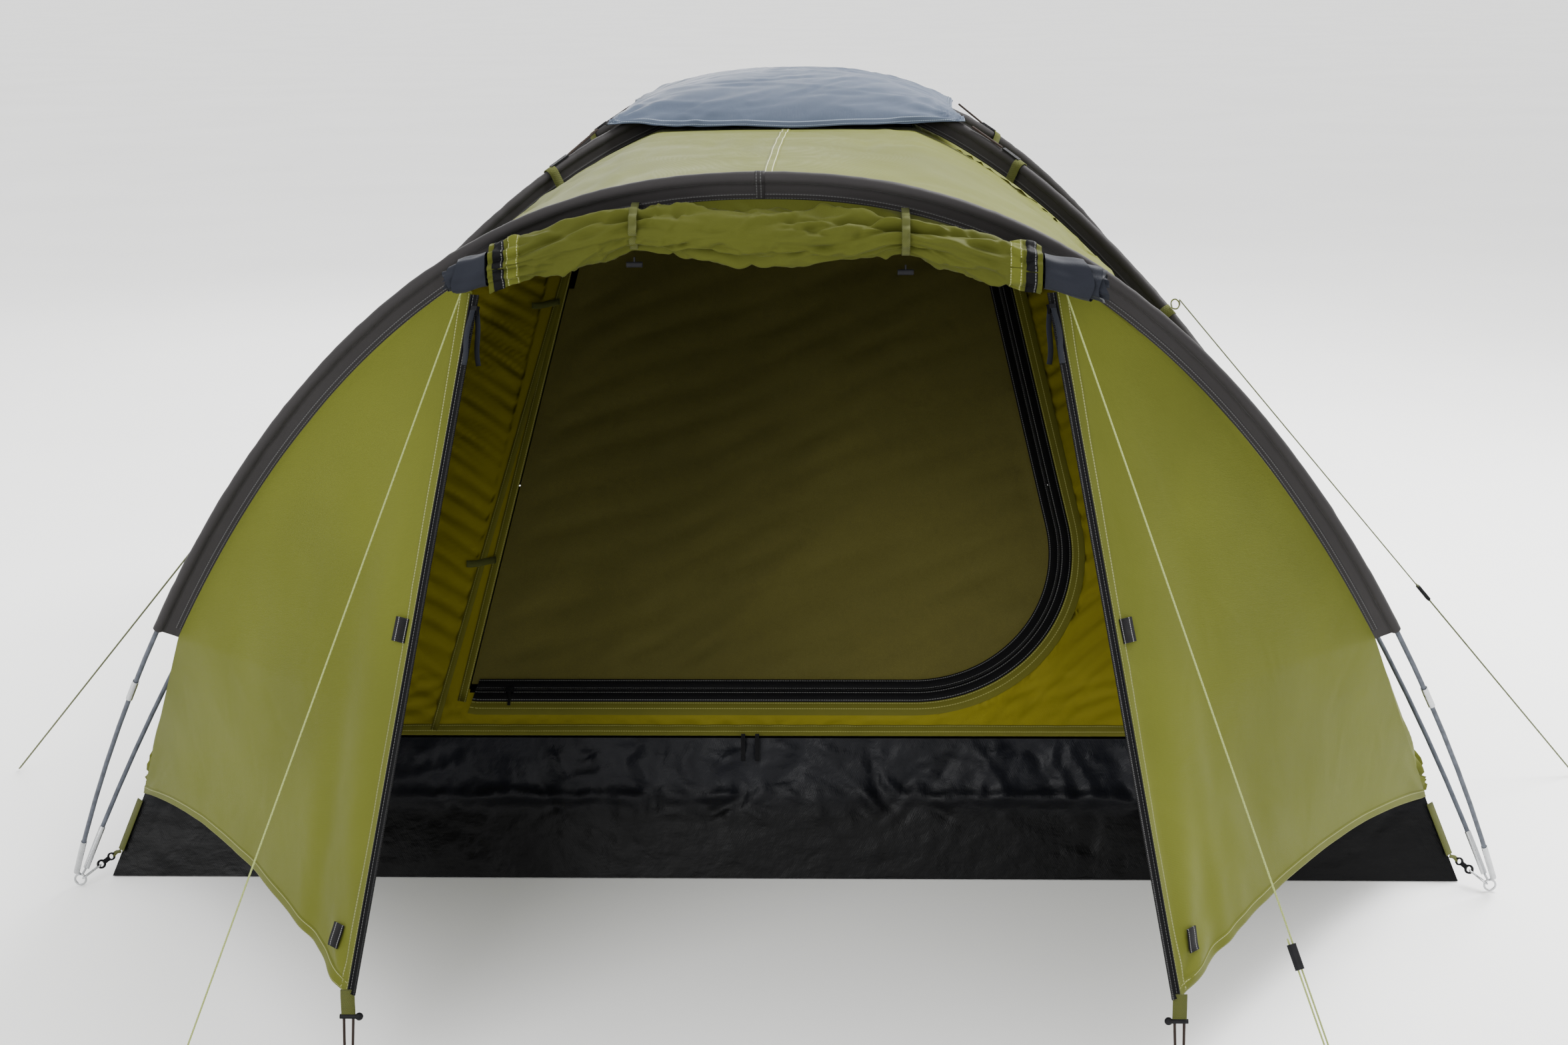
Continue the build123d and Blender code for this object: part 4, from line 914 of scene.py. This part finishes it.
def make_inner_wall():
    rows, columns = 190, 520
    height = np.linspace(tub_height + 0.001, vent_height - 0.003, rows)
    reach = np.array([seam(seam_angle(h), 0.001)[0] for h in height])
    share = np.linspace(-1, 1, columns)
    edge = np.clip((np.abs(share) - 0.8) / 0.2, 0, 1)[None, :]
    flat_y = wall_low_y + (wall_high_y - wall_low_y) * (height - tub_height) / (vent_height - tub_height)
    y = flat_y[:, None] * (1 - edge ** 2) + (-reach * share_y)[:, None] * edge ** 2
    x = share[None, :] * (reach * share_x)[:, None]
    points = np.stack(np.broadcast_arrays(x, y, height[:, None]), axis=2)
    a = spans(points)[0]
    up = (points - wall_origin) @ wall_up
    side = np.where(x < 0, 1.0, -1.0)
    field = gathers(a, np.abs(x), 0.88, 0.034, 0.0085, 91) + gathers(a, np.abs(x), 0.75, 0.019, 0.0040, 94)
    field = field + gathers(a, x, 1.25, 0.028, 0.0050, 92) * (up < door_low + 0.03)
    field = field + 0.002 * np.sin(x * 25) * side
    calm = ~inside(x, up, 0.045)
    cloth = Cloth(points, field * calm * calm_ends(rows, 16)[:, None])
    centre_x = (x[:-1, :-1] + x[1:, 1:]) / 2
    centre_up = (up[:-1, :-1] + up[1:, 1:]) / 2
    keep = ~(inside(centre_x, centre_up, 0.006) & (centre_x > hinge_x(centre_up) - 0.006))
    obj = cloth.build("inner-front-wall", inner_cloth, keep=keep, nodes=("inner_front_wall",))
    cloth.face((0, -5, 2))
    line = np.linspace(2, columns - 3, 300)
    low_tape = cloth.strip("inner-wall-low-tape", np.full(300, 1.5), line, 0.022, inner_tape,
                           0.0008)
    wall_tape = taper_strip("inner-zip-wall-tape", 0.00075, 0.0205, 0.0024, band_tape, tent,
                            ("inner_zip_wall_tape",))
    border = taper_strip("inner-door-border-tape", 0.0195, 0.044, 0.0012, inner_tape, tent)
    ups = np.linspace(door_low - 0.02, door_high + 0.03, 60)
    hinge_points = on_wall(hinge_x(ups) - 0.0085, ups, 0.0008)
    hinge = strap("inner-door-hinge-tape", hinge_points, (1, 0, 0), 0.015, 0.0012, inner_tape)
    ups = np.linspace(0.01, door_high + 0.05, 60)
    slant = -0.60 + ups / door_high * 0.215
    second = strap("inner-wall-second-seam", on_wall(slant, ups, 0.0012), (1, 0, 0), 0.012, 0.0012,
                   inner_tape)


def make_inner_door():
    rows, columns = 90, 100
    up = np.linspace(door_low + 0.0015, door_high - 0.0015, rows)[:, None]
    left = hinge_x(up) + 0.001
    share = np.linspace(0, 1, columns)[None, :]
    x = left + share * (0.56 - left)
    up = np.broadcast_to(up, x.shape)
    points = on_wall(x, up, -0.0005)
    a = spans(points)[0]
    field = creases(a, x, 95, 50, 0.4, 0.03, 0.0035, 0.5, 0.5) + gathers(a, x, 1.15, 0.060, 0.0032, 96)
    field = field + gathers(a, x, 0.95, 0.030, 0.0026, 97) * np.exp(-((up - door_low) / 0.16) ** 2)
    edge = np.clip((up - door_low) * 12, 0, 1) * np.clip((x - left) * 20, 0, 1)
    cloth = Cloth(points, field * edge * inside(x, up, -0.03))
    centre_x, centre_up = (x[:-1, :-1] + x[1:, 1:]) / 2, (up[:-1, :-1] + up[1:, 1:]) / 2
    keep = inside(centre_x, centre_up, -0.006)
    obj = cloth.build("inner-door", door_mesh, keep=keep, body="inner_door",
                      nodes=("inner_door_panel",))
    tape = taper_strip("inner-zip-door-tape", -0.0205, -0.00075, 0.0024, band_tape, "inner_door",
                       ("inner_zip_door_tape",))
    coil = taper_strip("inner-zip-coil", -0.0035, 0.0004, 0.0034, zip_teeth, "inner_door")


make_inner_wall()
make_inner_door()


# ---- porch roof and side panels --------------------------------------------------------
edge_top = np.array([0.408, -1.462, 1.080])
edge_foot = np.array([0.575, -1.750, 0.140])
arch_start = math.degrees(math.asin(0.450 / arch_foot_x))
hem_height = 0.140
hem_angle = seam_angle(hem_height)
hem_reach = seam(hem_angle)[0]
hem_corner = np.array([hem_reach * share_x - 0.002, -hem_reach * share_y - 0.009, hem_height])
seam_share = 0.62


def roof_rear(angle):
    size = np.abs(angle)
    reach, height = seam(np.maximum(size, vent_angle))
    share = np.clip(angle / vent_angle, -1, 1)
    top = (size < vent_angle)
    x = np.where(top, share * reach * share_x, np.sign(angle) * (reach * share_x))
    y = -reach * share_y - np.where(top, 0.002, 0.001)
    return np.stack([x, y, height + np.where(top, 0.001, 0.0)], axis=1)


def roof_front(angle):
    size = np.abs(angle)
    along = front_arch.point(np.minimum(size, arch_end), fin)
    end = front_arch.point(arch_end, fin)
    share = np.clip((size - arch_end) / (hem_angle - arch_end), 0, 1)[:, None]
    points = np.where(share > 0, end + (hem_corner - end) * share, along)
    points[:, 0] *= np.sign(angle) + (angle == 0)
    points[:, 1] += 0.0015
    return points


def make_porch_roof():
    rows, columns = 240, 60
    angle = np.linspace(-hem_angle + 0.6, hem_angle - 0.6, rows)
    rear, front = roof_rear(angle), roof_front(angle)
    v = np.linspace(0, 1, columns)[None, :, None]
    points = rear[:, None, :] * (1 - v) + front[:, None, :] * v
    normal = grid_normals(points)
    inward = -np.sign((normal * np.array([0, 0, 1.0])).sum(2) + 1e-9)
    width = np.linalg.norm(front - rear, axis=1)[:, None]
    rise = -inward * 0.010 * width * np.sin(np.linspace(0, math.pi, columns))[None, :]
    a, b = spans(points)
    field = rise + creases(b, a, 101, 120, 0.32, 0.017, 0.0055, 0.0, 0.45)
    field = field + creases(a, b, 102, 300, 0.10, 0.008, 0.0018)
    for row in (0, 72, 168, -1):
        field = field + pull(points, points[row, 0], 18, 0.22, 0.009)
        field = field + pull(points, points[row, -1], 18, 0.20, 0.006)
    cloth = Cloth(points, field * calm_ends(columns, 14)[None, :])
    obj = cloth.build("porch-roof", canopy, nodes=("porch_roof",))
    cloth.face((0, -0.8, 9))
    line = np.linspace(0.2, columns - 1.3, 90)
    centre_seam = cloth.strip("porch-roof-centre-seam", np.full(90, (rows - 1) / 2), line, 0.018,
                              canopy_seam, 0.0009)


def porch_panel(sign, seed):
    rows, columns = 150, 110
    u = np.linspace(0, 1, rows)
    v = np.linspace(0, 1, columns)[None, :]
    front = edge_top + (edge_foot - edge_top) * u[:, None]
    share = np.clip(u / seam_share, 0, 1)
    along = front_arch.point(arch_start + (arch_end - arch_start) * share, fin)
    end = front_arch.point(arch_end, fin)
    late = np.clip((u - seam_share) / (1 - seam_share), 0, 1)[:, None]
    rear = np.where(late > 0, end + (hem_corner - end) * late, along) + np.array([0, -0.002, 0])
    points = front[:, None, :] * (1 - v[..., None]) + rear[:, None, :] * v[..., None]
    sag = 0.048 * 4 * v * (1 - v) * u[:, None] ** 4
    points[..., 2] += sag
    points[..., 1] += 0.3 * sag
    points[..., 0] *= sign
    a, b = spans(points)
    from_edge = v * np.linalg.norm(front - rear, axis=1)[:, None]
    down = u[:, None]
    ripple = np.cos(from_edge * 46 + 1.2 * sign + 2.0 * down + 0.5 * np.sin(down * 7))
    folds = 0.0075 * np.exp(-from_edge / 0.11) * ripple * (0.25 + down)
    folds = folds + 0.006 * np.exp(-((from_edge - 0.10 - 0.05 * down) / 0.025) ** 2) * down ** 2
    field = folds + creases(a, b, seed, 26, 0.55, 0.035, 0.0018, 0.05, 0.12)
    field = field + creases(a, b, seed + 1, 160, 0.10, 0.007, 0.0006)
    field = field + pull(points, points[-1, 0], 12, 0.12, 0.004)
    field = field + pull(points, points[-1, -1], 12, 0.12, 0.003)
    edge = np.clip(np.minimum(v, 1 - v) * 26, 0, 1)
    name = "left" if sign < 0 else "right"
    cloth = Cloth(points, field * edge * np.clip(u[:, None] * 12, 0, 1))
    obj = cloth.build(f"porch-panel-{name}", canopy, nodes=(f"porch_panel_{name}",))
    cloth.face((sign * 0.8, -6, 1.0))
    line = np.linspace(0.6, columns - 1.6, 160)
    hem = cloth.strip(f"porch-hem-{name}", np.full(160, rows - 2.0), line, 0.021, hem_cloth,
                      0.0009)
    edge_line = np.linspace(1.0, rows - 1.6, 200)
    panel_width = np.interp(edge_line, np.arange(rows), np.linalg.norm(rear - front, axis=1))
    inset = 0.012 / np.maximum(panel_width, 0.02)
    border = cloth.strip(f"porch-door-edge-{name}", edge_line, inset * (columns - 1), 0.020, hem_cloth,
                         0.0009)
    return cloth


make_porch_roof()
panels = {sign: porch_panel(sign, 111 + 7 * sign) for sign in (-1, 1)}


def edge_frame():
    along = unit(edge_foot - edge_top)
    panel = panels[1].flat_points[60, 11]
    towards = edge_top + (edge_foot - edge_top) * 0.4 - panel
    towards = unit(towards - along * np.dot(towards, along))
    outward = unit(np.cross(towards, along))
    return along, towards, outward if outward[1] < 0 else -outward


def make_side_zips():
    along, towards, outward = edge_frame()
    length = float(np.linalg.norm(edge_foot - edge_top))
    for sign, name in ((-1, "left"), (1, "right")):
        flip = np.array([sign, 1, 1])
        t = np.linspace(0.004, length - 0.004, 80)[:, None]
        tape = (edge_top + along * t + towards * 0.0075) * flip
        strap(f"door-zip-tape-{name}", tape, towards * flip, 0.0135, 0.0014, band_tape,
              nodes=(f"door_zip_{name}",))
        coil = (edge_top + along * t + towards * 0.0128 + outward * 0.0008) * flip
        strap(f"door-zip-coil-{name}", coil, towards * flip, 0.0036, 0.0022, zip_teeth)
        piping = (edge_top + along * t + towards * 0.0005 + outward * 0.0016) * flip
        strap(f"door-edge-piping-{name}", piping, towards * flip, 0.003, 0.003, black_webbing)


def wavy(start, end, normal, depth, count=18, phase=0.0):
    """Points from start to end that stand off a little, as a ribbon does."""
    t = np.linspace(0, 1, count)[:, None]
    wave = depth * np.sin(t * 5.0 + phase) * np.sin(math.pi * t * 0.5)
    return start + (end - start) * t + np.array(normal) * wave


def make_ribbons():
    along, towards, outward = edge_frame()
    pivot, out = 0.0265, 0.0041
    for sign, name in ((-1, "left"), (1, "right")):
        flip = np.array([sign, 1, 1])
        start = edge_top + along * pivot + towards * 0.011
        outer = wavy(start + outward * out, start + outward * (out + 0.002) + along * 0.078, outward, 0.004)
        strap(f"outer-pull-ribbon-{name}", outer * flip, towards * flip, 0.010, 0.0012, grey_ribbon,
              f"{name}_outer_ribbon", (f"outer_ribbon_{name}",))
        low = start - outward * out + np.array([0, 0, -0.078])
        inner = wavy(start - outward * out, low, towards, 0.0035, phase=1.0)
        strap(f"inner-pull-ribbon-{name}", inner * flip, towards * flip, 0.010, 0.0012, grey_ribbon,
              f"{name}_inner_ribbon", (f"inner_ribbon_{name}",))


def make_tabs():
    for sign, name in ((-1, "left"), (1, "right")):
        cloth = panels[sign]
        for label, share in (("upper", 0.49), ("lower", 0.94)):
            row = share * (cloth.rows - 1)
            column = 0.055 * (cloth.columns - 1)
            rows = np.linspace(row - 2.6, row + 2.6, 8)
            line = cloth.at(rows, np.full(8, column), cloth.lift_sign * 0.0032)
            across = cloth.at(row, column + 1) - cloth.at(row, column - 1)
            strap(f"hook-and-loop-{label}-{name}", line, across, 0.024, 0.002, hook_tape,
                  nodes=once("hook_and_loop_tabs"))


make_side_zips()
make_ribbons()
make_tabs()


# ---- rolled door -----------------------------------------------------------------------
roll_front = -1.524
roll_places = np.array([(-0.372, 1.121), (-0.271, 1.150), (-0.172, 1.175), (-0.08, 1.166), (0.014, 1.160),
                        (0.11, 1.160), (0.199, 1.164), (0.291, 1.140), (0.384, 1.114)])
tie_x = {"left": -0.172, "right": 0.199}


def roll_line(count):
    """The roll's centre line: a smooth line through its places, and the distance along it."""
    x = np.linspace(roll_places[0, 0], roll_places[-1, 0], count)
    z = np.interp(x, roll_places[:, 0], roll_places[:, 1])
    kernel = np.hanning(31)
    padded = np.concatenate([np.full(15, z[0]), z, np.full(15, z[-1])])
    smooth = np.convolve(padded, kernel / kernel.sum(), "valid")
    fade = np.clip(np.minimum(np.arange(count), np.arange(count)[::-1]) / 15, 0, 1)
    z = smooth * fade + z * (1 - fade)
    return np.stack([x, np.full(count, roll_front), z], axis=1)


def tie_squeeze(x):
    return sum(np.exp(-((x - place) / 0.035) ** 2) for place in tie_x.values())


def roll_radius(x, turn):
    """Radius of the roll at a place along it and a turn round it, 0 at the front."""
    middle = np.exp(-((x - 0.014) / 0.12) ** 2)
    base = 0.0265 + 0.003 * middle - 0.0075 * tie_squeeze(x)
    tall = 1 + 0.16 * middle * np.abs(np.sin(turn)) ** 2
    gather = 0.0026 * sum(np.exp(-np.abs(x - place) / 0.06) * np.cos(9 * turn + 3 * k)
                          for k, place in enumerate(tie_x.values()))
    edge = 0.0028 * (np.mod(turn + 0.5 + 1.4 * x, 2 * math.pi) < math.pi)
    return base * tall + gather + edge


def make_roll():
    count, around = 260, 96
    line = roll_line(count)
    turn = np.linspace(0, 2 * math.pi, around)
    x = line[:, 0][:, None]
    radius = roll_radius(x, turn[None, :])
    a = np.broadcast_to(x, radius.shape)
    b = np.broadcast_to(turn[None, :] * 0.027, radius.shape)
    fold = creases(a, b, 131, 120, 0.17, 0.0045, 0.0080, 0.0, 0.16)
    fold = fold + creases(a, b, 132, 260, 0.07, 0.0038, 0.0030, 0.2, 0.6)
    fold = fold + gathers(a, b, 0.30, 0.022, 0.0050, 133) - gathers(a, b, -0.22, 0.027, 0.0045, 134)
    wrap = np.clip(np.minimum(turn, turn[::-1]) * 3, 0, 1)[None, :]
    radius = radius + fold * wrap
    points = np.stack([np.broadcast_to(x, radius.shape), line[:, 1][:, None] - radius * np.cos(turn)[None, :],
                       line[:, 2][:, None] + radius * np.sin(turn)[None, :]], axis=2)
    cloth = Cloth(points)
    obj = cloth.build("rolled-door", roll_cloth_painted_shade, nodes=("rolled_outer_door",))
    cloth.lift_sign = 1.0 if cloth.normals[130, 0, 1] < 0 else -1.0
    ring = np.linspace(0.2, around - 1.2, 120)
    for side, row, shift in (("left", 5.0, 1), ("right", count - 6.0, -1)):
        cloth.strip(f"roll-zip-band-{side}", np.full(120, row), ring, 0.016, band_tape,
                                  0.0012)
        cloth.strip(f"roll-stitched-edge-{side}", np.full(120, row + shift * 7.0), ring, 0.018,
                                  hem_cloth, 0.0006)


def make_roll_head():
    """The top of the door, from the arch's seam down on to the roll."""
    columns, rows = 120, 14
    x = np.linspace(-0.384, 0.392, columns)
    top = front_arch.point(np.degrees(np.arcsin(x / arch_foot_x)), fin - 0.001)
    top = top + np.array([0, -0.0025, 0])
    low_z = np.interp(x, roll_places[:, 0], roll_places[:, 1])
    low = np.stack([x, np.full(columns, roll_front + 0.004), low_z + 0.018], axis=1)
    v = np.linspace(0, 1, rows)[:, None, None]
    points = top[None] * (1 - v) + low[None] * v
    a, b = spans(points)
    field = creases(a, b, 137, 60, 0.05, 0.005, 0.0028, 0.5, 0.6)
    field = field * np.sin(np.linspace(0, math.pi, rows))[:, None]
    cloth = Cloth(points, field)
    obj = cloth.build("rolled-door-head", roll_cloth_painted_shade)


def make_flap_end(name, x0, x1, z0, z1, seed, open_mouth, nodes):
    """The storm flap's end: cloth rolled into a spiral whose layers end in steps."""
    turns, count, rows = 3.6, 200, 22
    t = np.linspace(0, 1, count)
    phi = t * turns * 2 * math.pi
    inner = 0.010 if open_mouth else 0.006
    radius = inner + (0.0265 - inner) * t ** 0.8
    radius = radius + 0.0012 * np.sin(phi * 3.1 + seed) * t + 0.0009 * np.sin(phi * 7.3 + 2)
    s = np.linspace(0, 1, rows)[:, None]
    reach = 1 - 0.42 * t ** 2 + 0.05 * np.sin(phi * 2.3 + seed)
    along = s * np.clip(reach, 0.3, 1.0)[None, :]
    flare = 1 + (0.26 if open_mouth else -0.10) * along ** 2
    r = radius[None, :] * flare + 0.0010 * np.sin(along * 9 + phi[None, :] * 2)
    x = x0 + (x1 - x0) * along
    z = z0 + (z1 - z0) * along
    points = np.stack([x, roll_front - r * np.cos(phi)[None, :], z + r * np.sin(phi)[None, :]], axis=2)
    cloth = Cloth(points)
    obj = cloth.build(name, flap_cloth, nodes=nodes)


def make_ties():
    for side, x in tie_x.items():
        centre_z = float(np.interp(x, roll_places[:, 0], roll_places[:, 1]))
        turn = np.linspace(-1.9, 2 * math.pi - 1.9, 60)
        radius = roll_radius(np.array([x]), turn) + 0.0052
        ring = np.stack([np.full(60, x), roll_front - radius * np.cos(turn),
                         centre_z + radius * np.sin(turn)], axis=1)
        strap(f"roll-tie-loop-{side}", ring, (1, 0, 0), 0.011, 0.0014, olive_webbing,
              nodes=once("roll_ties"))
        low = np.array([x, roll_front + 0.006, centre_z + 0.024])
        high = np.array([x, -1.482, centre_z + 0.036])
        tail = wavy(low, high, (0, 0, 1), 0.002)
        strap(f"roll-tie-tail-{side}", tail, (1, 0, 0), 0.011, 0.0014, olive_webbing)


make_roll()
make_roll_head()
make_flap_end("storm-flap-end-left", -0.376, -0.438, 1.120, 1.104, 3, False, ("rolled_storm_flap_ends",))
make_flap_end("storm-flap-end-right", 0.388, 0.476, 1.113, 1.093, 8, True, ())
make_ties()


# ---- small straps ----------------------------------------------------------------------
def make_inner_straps():
    for label, up in (("low", 0.320), ("high", 0.835)):
        x = float(hinge_x(up)) - 0.034
        t = np.linspace(-0.026, 0.026, 10)
        line = on_wall(x + t, up + 0.004 * np.sin(t * 60), 0.0016 + 0.004 * (t / 0.026) ** 2)
        strap(f"inner-tie-tab-{label}", line, wall_up, 0.013, 0.0016, olive_webbing,
              nodes=once("inner_tie_tabs"))
    for side, x in (("left", -0.062), ("right", -0.038)):
        top = np.array([x, wall_low_y - 0.009, tub_height + 0.008])
        line = wavy(top, top + np.array([0, -0.013, -0.046]), (0, -1, 0), 0.003)
        strap(f"sill-strap-{side}", line, (1, 0, 0), 0.007, 0.0016, black_webbing,
              f"{side}_sill_strap", (f"sill_strap_{side}",))


def make_corner_webbing():
    low_reach, high_reach = seam(90.0)[0], seam(low_angle)[0]
    for sy in (-1, 1):
        for sx in (-1, 1):
            outward = np.array([sx * share_x, sy * share_y, 0])

            def corner(height):
                reach = low_reach + (high_reach - low_reach) * height / tub_height
                return np.array([sx * share_x * reach, sy * share_y * reach, height])

            tape_top = 0.195 if sy > 0 else 0.126
            heights = np.linspace(0.044, tape_top, 12)
            line = np.array([corner(h) + outward * 0.0036 for h in heights])
            across = np.array([-outward[1], outward[0], 0])
            side = "front" if sy < 0 else "rear"
            end = "left" if sx < 0 else "right"
            strap(f"corner-tape-{side}-{end}", line, across, 0.019, 0.0015, olive_webbing,
                  nodes=once("corner_webbing"))
            rim_x = 1.18606 if sy < 0 else 1.1808
            rim_y = 1.05095 if sy < 0 else 1.0446
            lead = np.array([-sx * 0.563887, -sy * 0.759078, 0.325319])
            tip = np.array([sx * rim_x, sy * rim_y, 0.01565]) + lead * 0.0625
            tail = wavy(tip, corner(0.044) + outward * 0.004, (0, 0, 1), 0.0015)
            strap(f"corner-tail-{side}-{end}", tail, across, 0.012, 0.0015, olive_webbing)


def make_porch_corner_webbing():
    for sign, name in ((-1, "left"), (1, "right")):
        flip = np.array([sign, 1, 1])
        corner = edge_foot + np.array([0, -0.0008, 0.010])
        down = wavy(corner, corner + np.array([0, -0.003, -0.036]), (0, -1, 0), 0.0006)
        strap(f"porch-corner-tail-{name}", down * flip, (1, 0, 0), 0.020, 0.0018, olive_webbing)


def make_cover_loops():
    for arch, label in ((main_a, "a"), (main_b, "b")):
        for sign, end in ((-1, "left"), (1, "right")):
            angle = sign * 21.3
            along = arch.point(angle + 0.5) - arch.point(angle - 0.5)
            turns = np.linspace(-1.0, 1.0, 25)
            inset = np.where(np.abs(turns) > 0.45, 0.030 * (np.abs(turns) - 0.45) / 0.55, 0.0)
            round_it = np.clip(turns / 0.45, -1, 1) * math.pi / 2
            line = [arch.point(angle, float(i) - 0.0105 * math.cos(r), 0.0105 * math.sin(r))
                    for i, r in zip(inset, round_it)]
            strap(f"cover-loop-{label}-{end}", line, along, 0.019, 0.0014, olive_webbing,
                  nodes=once("cover_webbing_loops"))


def make_guy_webbing():
    angle = math.degrees(math.asin(0.575))
    for sign, name in ((-1, "left"), (1, "right")):
        flip = np.array([sign, 1, 1])
        along = main_b.point(angle + 0.5) - main_b.point(angle - 0.5)
        turn = np.linspace(0.5, 2 * math.pi - 0.5, 40)
        ring = [main_b.point(angle, 0.006 + 0.0145 * math.cos(t), 0.0112 * math.sin(t)) for t in turn]
        strap(f"side-guy-band-{name}", np.array(ring) * flip, along * flip, 0.022, 0.0016, olive_webbing,
              nodes=once("guy_webbing"))
        start = np.array([0.4320, -1.4500, 1.0965])
        end = np.array([0.4189, -1.4690, 1.0965])
        strap(f"front-guy-tail-{name}", wavy(start, end, (0, 0, 1), 0.001) * flip, (1, 0, 0), 0.014, 0.0015,
              olive_webbing)


make_inner_straps()
make_corner_webbing()
make_porch_corner_webbing()
make_cover_loops()
make_guy_webbing()


# ---- finishes of the CAD pieces that stay ----------------------------------------------
finishes = {
    "main_pole_a": fibreglass, "main_pole_b": fibreglass, "front_arch_pole": fibreglass,
    "pole_joint_ferrules": steel, "pole_foot_ferrules": steel, "corner_rings": steel, "corner_links": steel,
    "guy_rings": steel, "pole_shock_cords": elastic, "cover_elastics": elastic,
    "zip_slider_left": black_metal, "zip_slider_right": black_metal, "inner_zip_slider": black_metal,
    "corner_hooks": black_plastic, "porch_corner_hooks": black_plastic, "cover_hooks": black_plastic,
    "roll_toggle_left": black_plastic, "roll_toggle_right": black_plastic,
    "front_guy_runner_left": black_plastic, "front_guy_runner_right": black_plastic,
    "side_guy_runner_left": black_plastic, "side_guy_runner_right": black_plastic,
}


def finish_nodes():
    for name, material in finishes.items():
        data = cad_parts[name].data
        data.materials.clear()
        data.materials.append(material)


finish_nodes()


# ---- floor and light -------------------------------------------------------------------
floor_reach, floor_drop, studio_strength = 90.0, -0.001, 1.9
lights = (("top-light", (2.4, 0.6, 4.4), (0, -0.2, 0.7), 2.6, 620.0),
          ("front-light", (-2.4, -5.2, 3.0), (0.2, -0.6, 0.5), 3.0, 170.0),
          ("rear-light", (-1.5, 5.0, 3.5), (0, 0, 0.7), 3.0, 120.0))


def make_stage():
    data = bpy.data.meshes.new("floor")
    signs = ((-1, -1), (1, -1), (1, 1), (-1, 1))
    corners = [(x * floor_reach, y * floor_reach, floor_drop) for x, y in signs]
    data.from_pydata(corners, [], [(0, 1, 2, 3)])
    paper = Nodes("pale paper floor")
    paper.colour(paper.ramp(paper.noise(0.8), (0.3, (0.86, 0.86, 0.85)), (0.7, (0.90, 0.90, 0.89))))
    paper.roughness(paper.noise(3.0), 0.85, 0.95)
    data.materials.append(paper.material)
    floor = bpy.data.objects.new("floor", data)
    bpy.context.scene.collection.objects.link(floor)
    world = bpy.data.worlds.new("studio")
    world.use_nodes = True
    world.node_tree.nodes["Background"].inputs["Color"].default_value = (1, 1, 1, 1)
    world.node_tree.nodes["Background"].inputs["Strength"].default_value = studio_strength
    bpy.context.scene.world = world
    for name, place, aim, size, power in lights:
        light = bpy.data.lights.new(name, "AREA")
        light.size = size
        light.energy = power
        obj = bpy.data.objects.new(name, light)
        obj.location = place
        obj.rotation_euler = (Vector(aim) - Vector(place)).to_track_quat("-Z", "Y").to_euler()
        bpy.context.scene.collection.objects.link(obj)


make_stage()
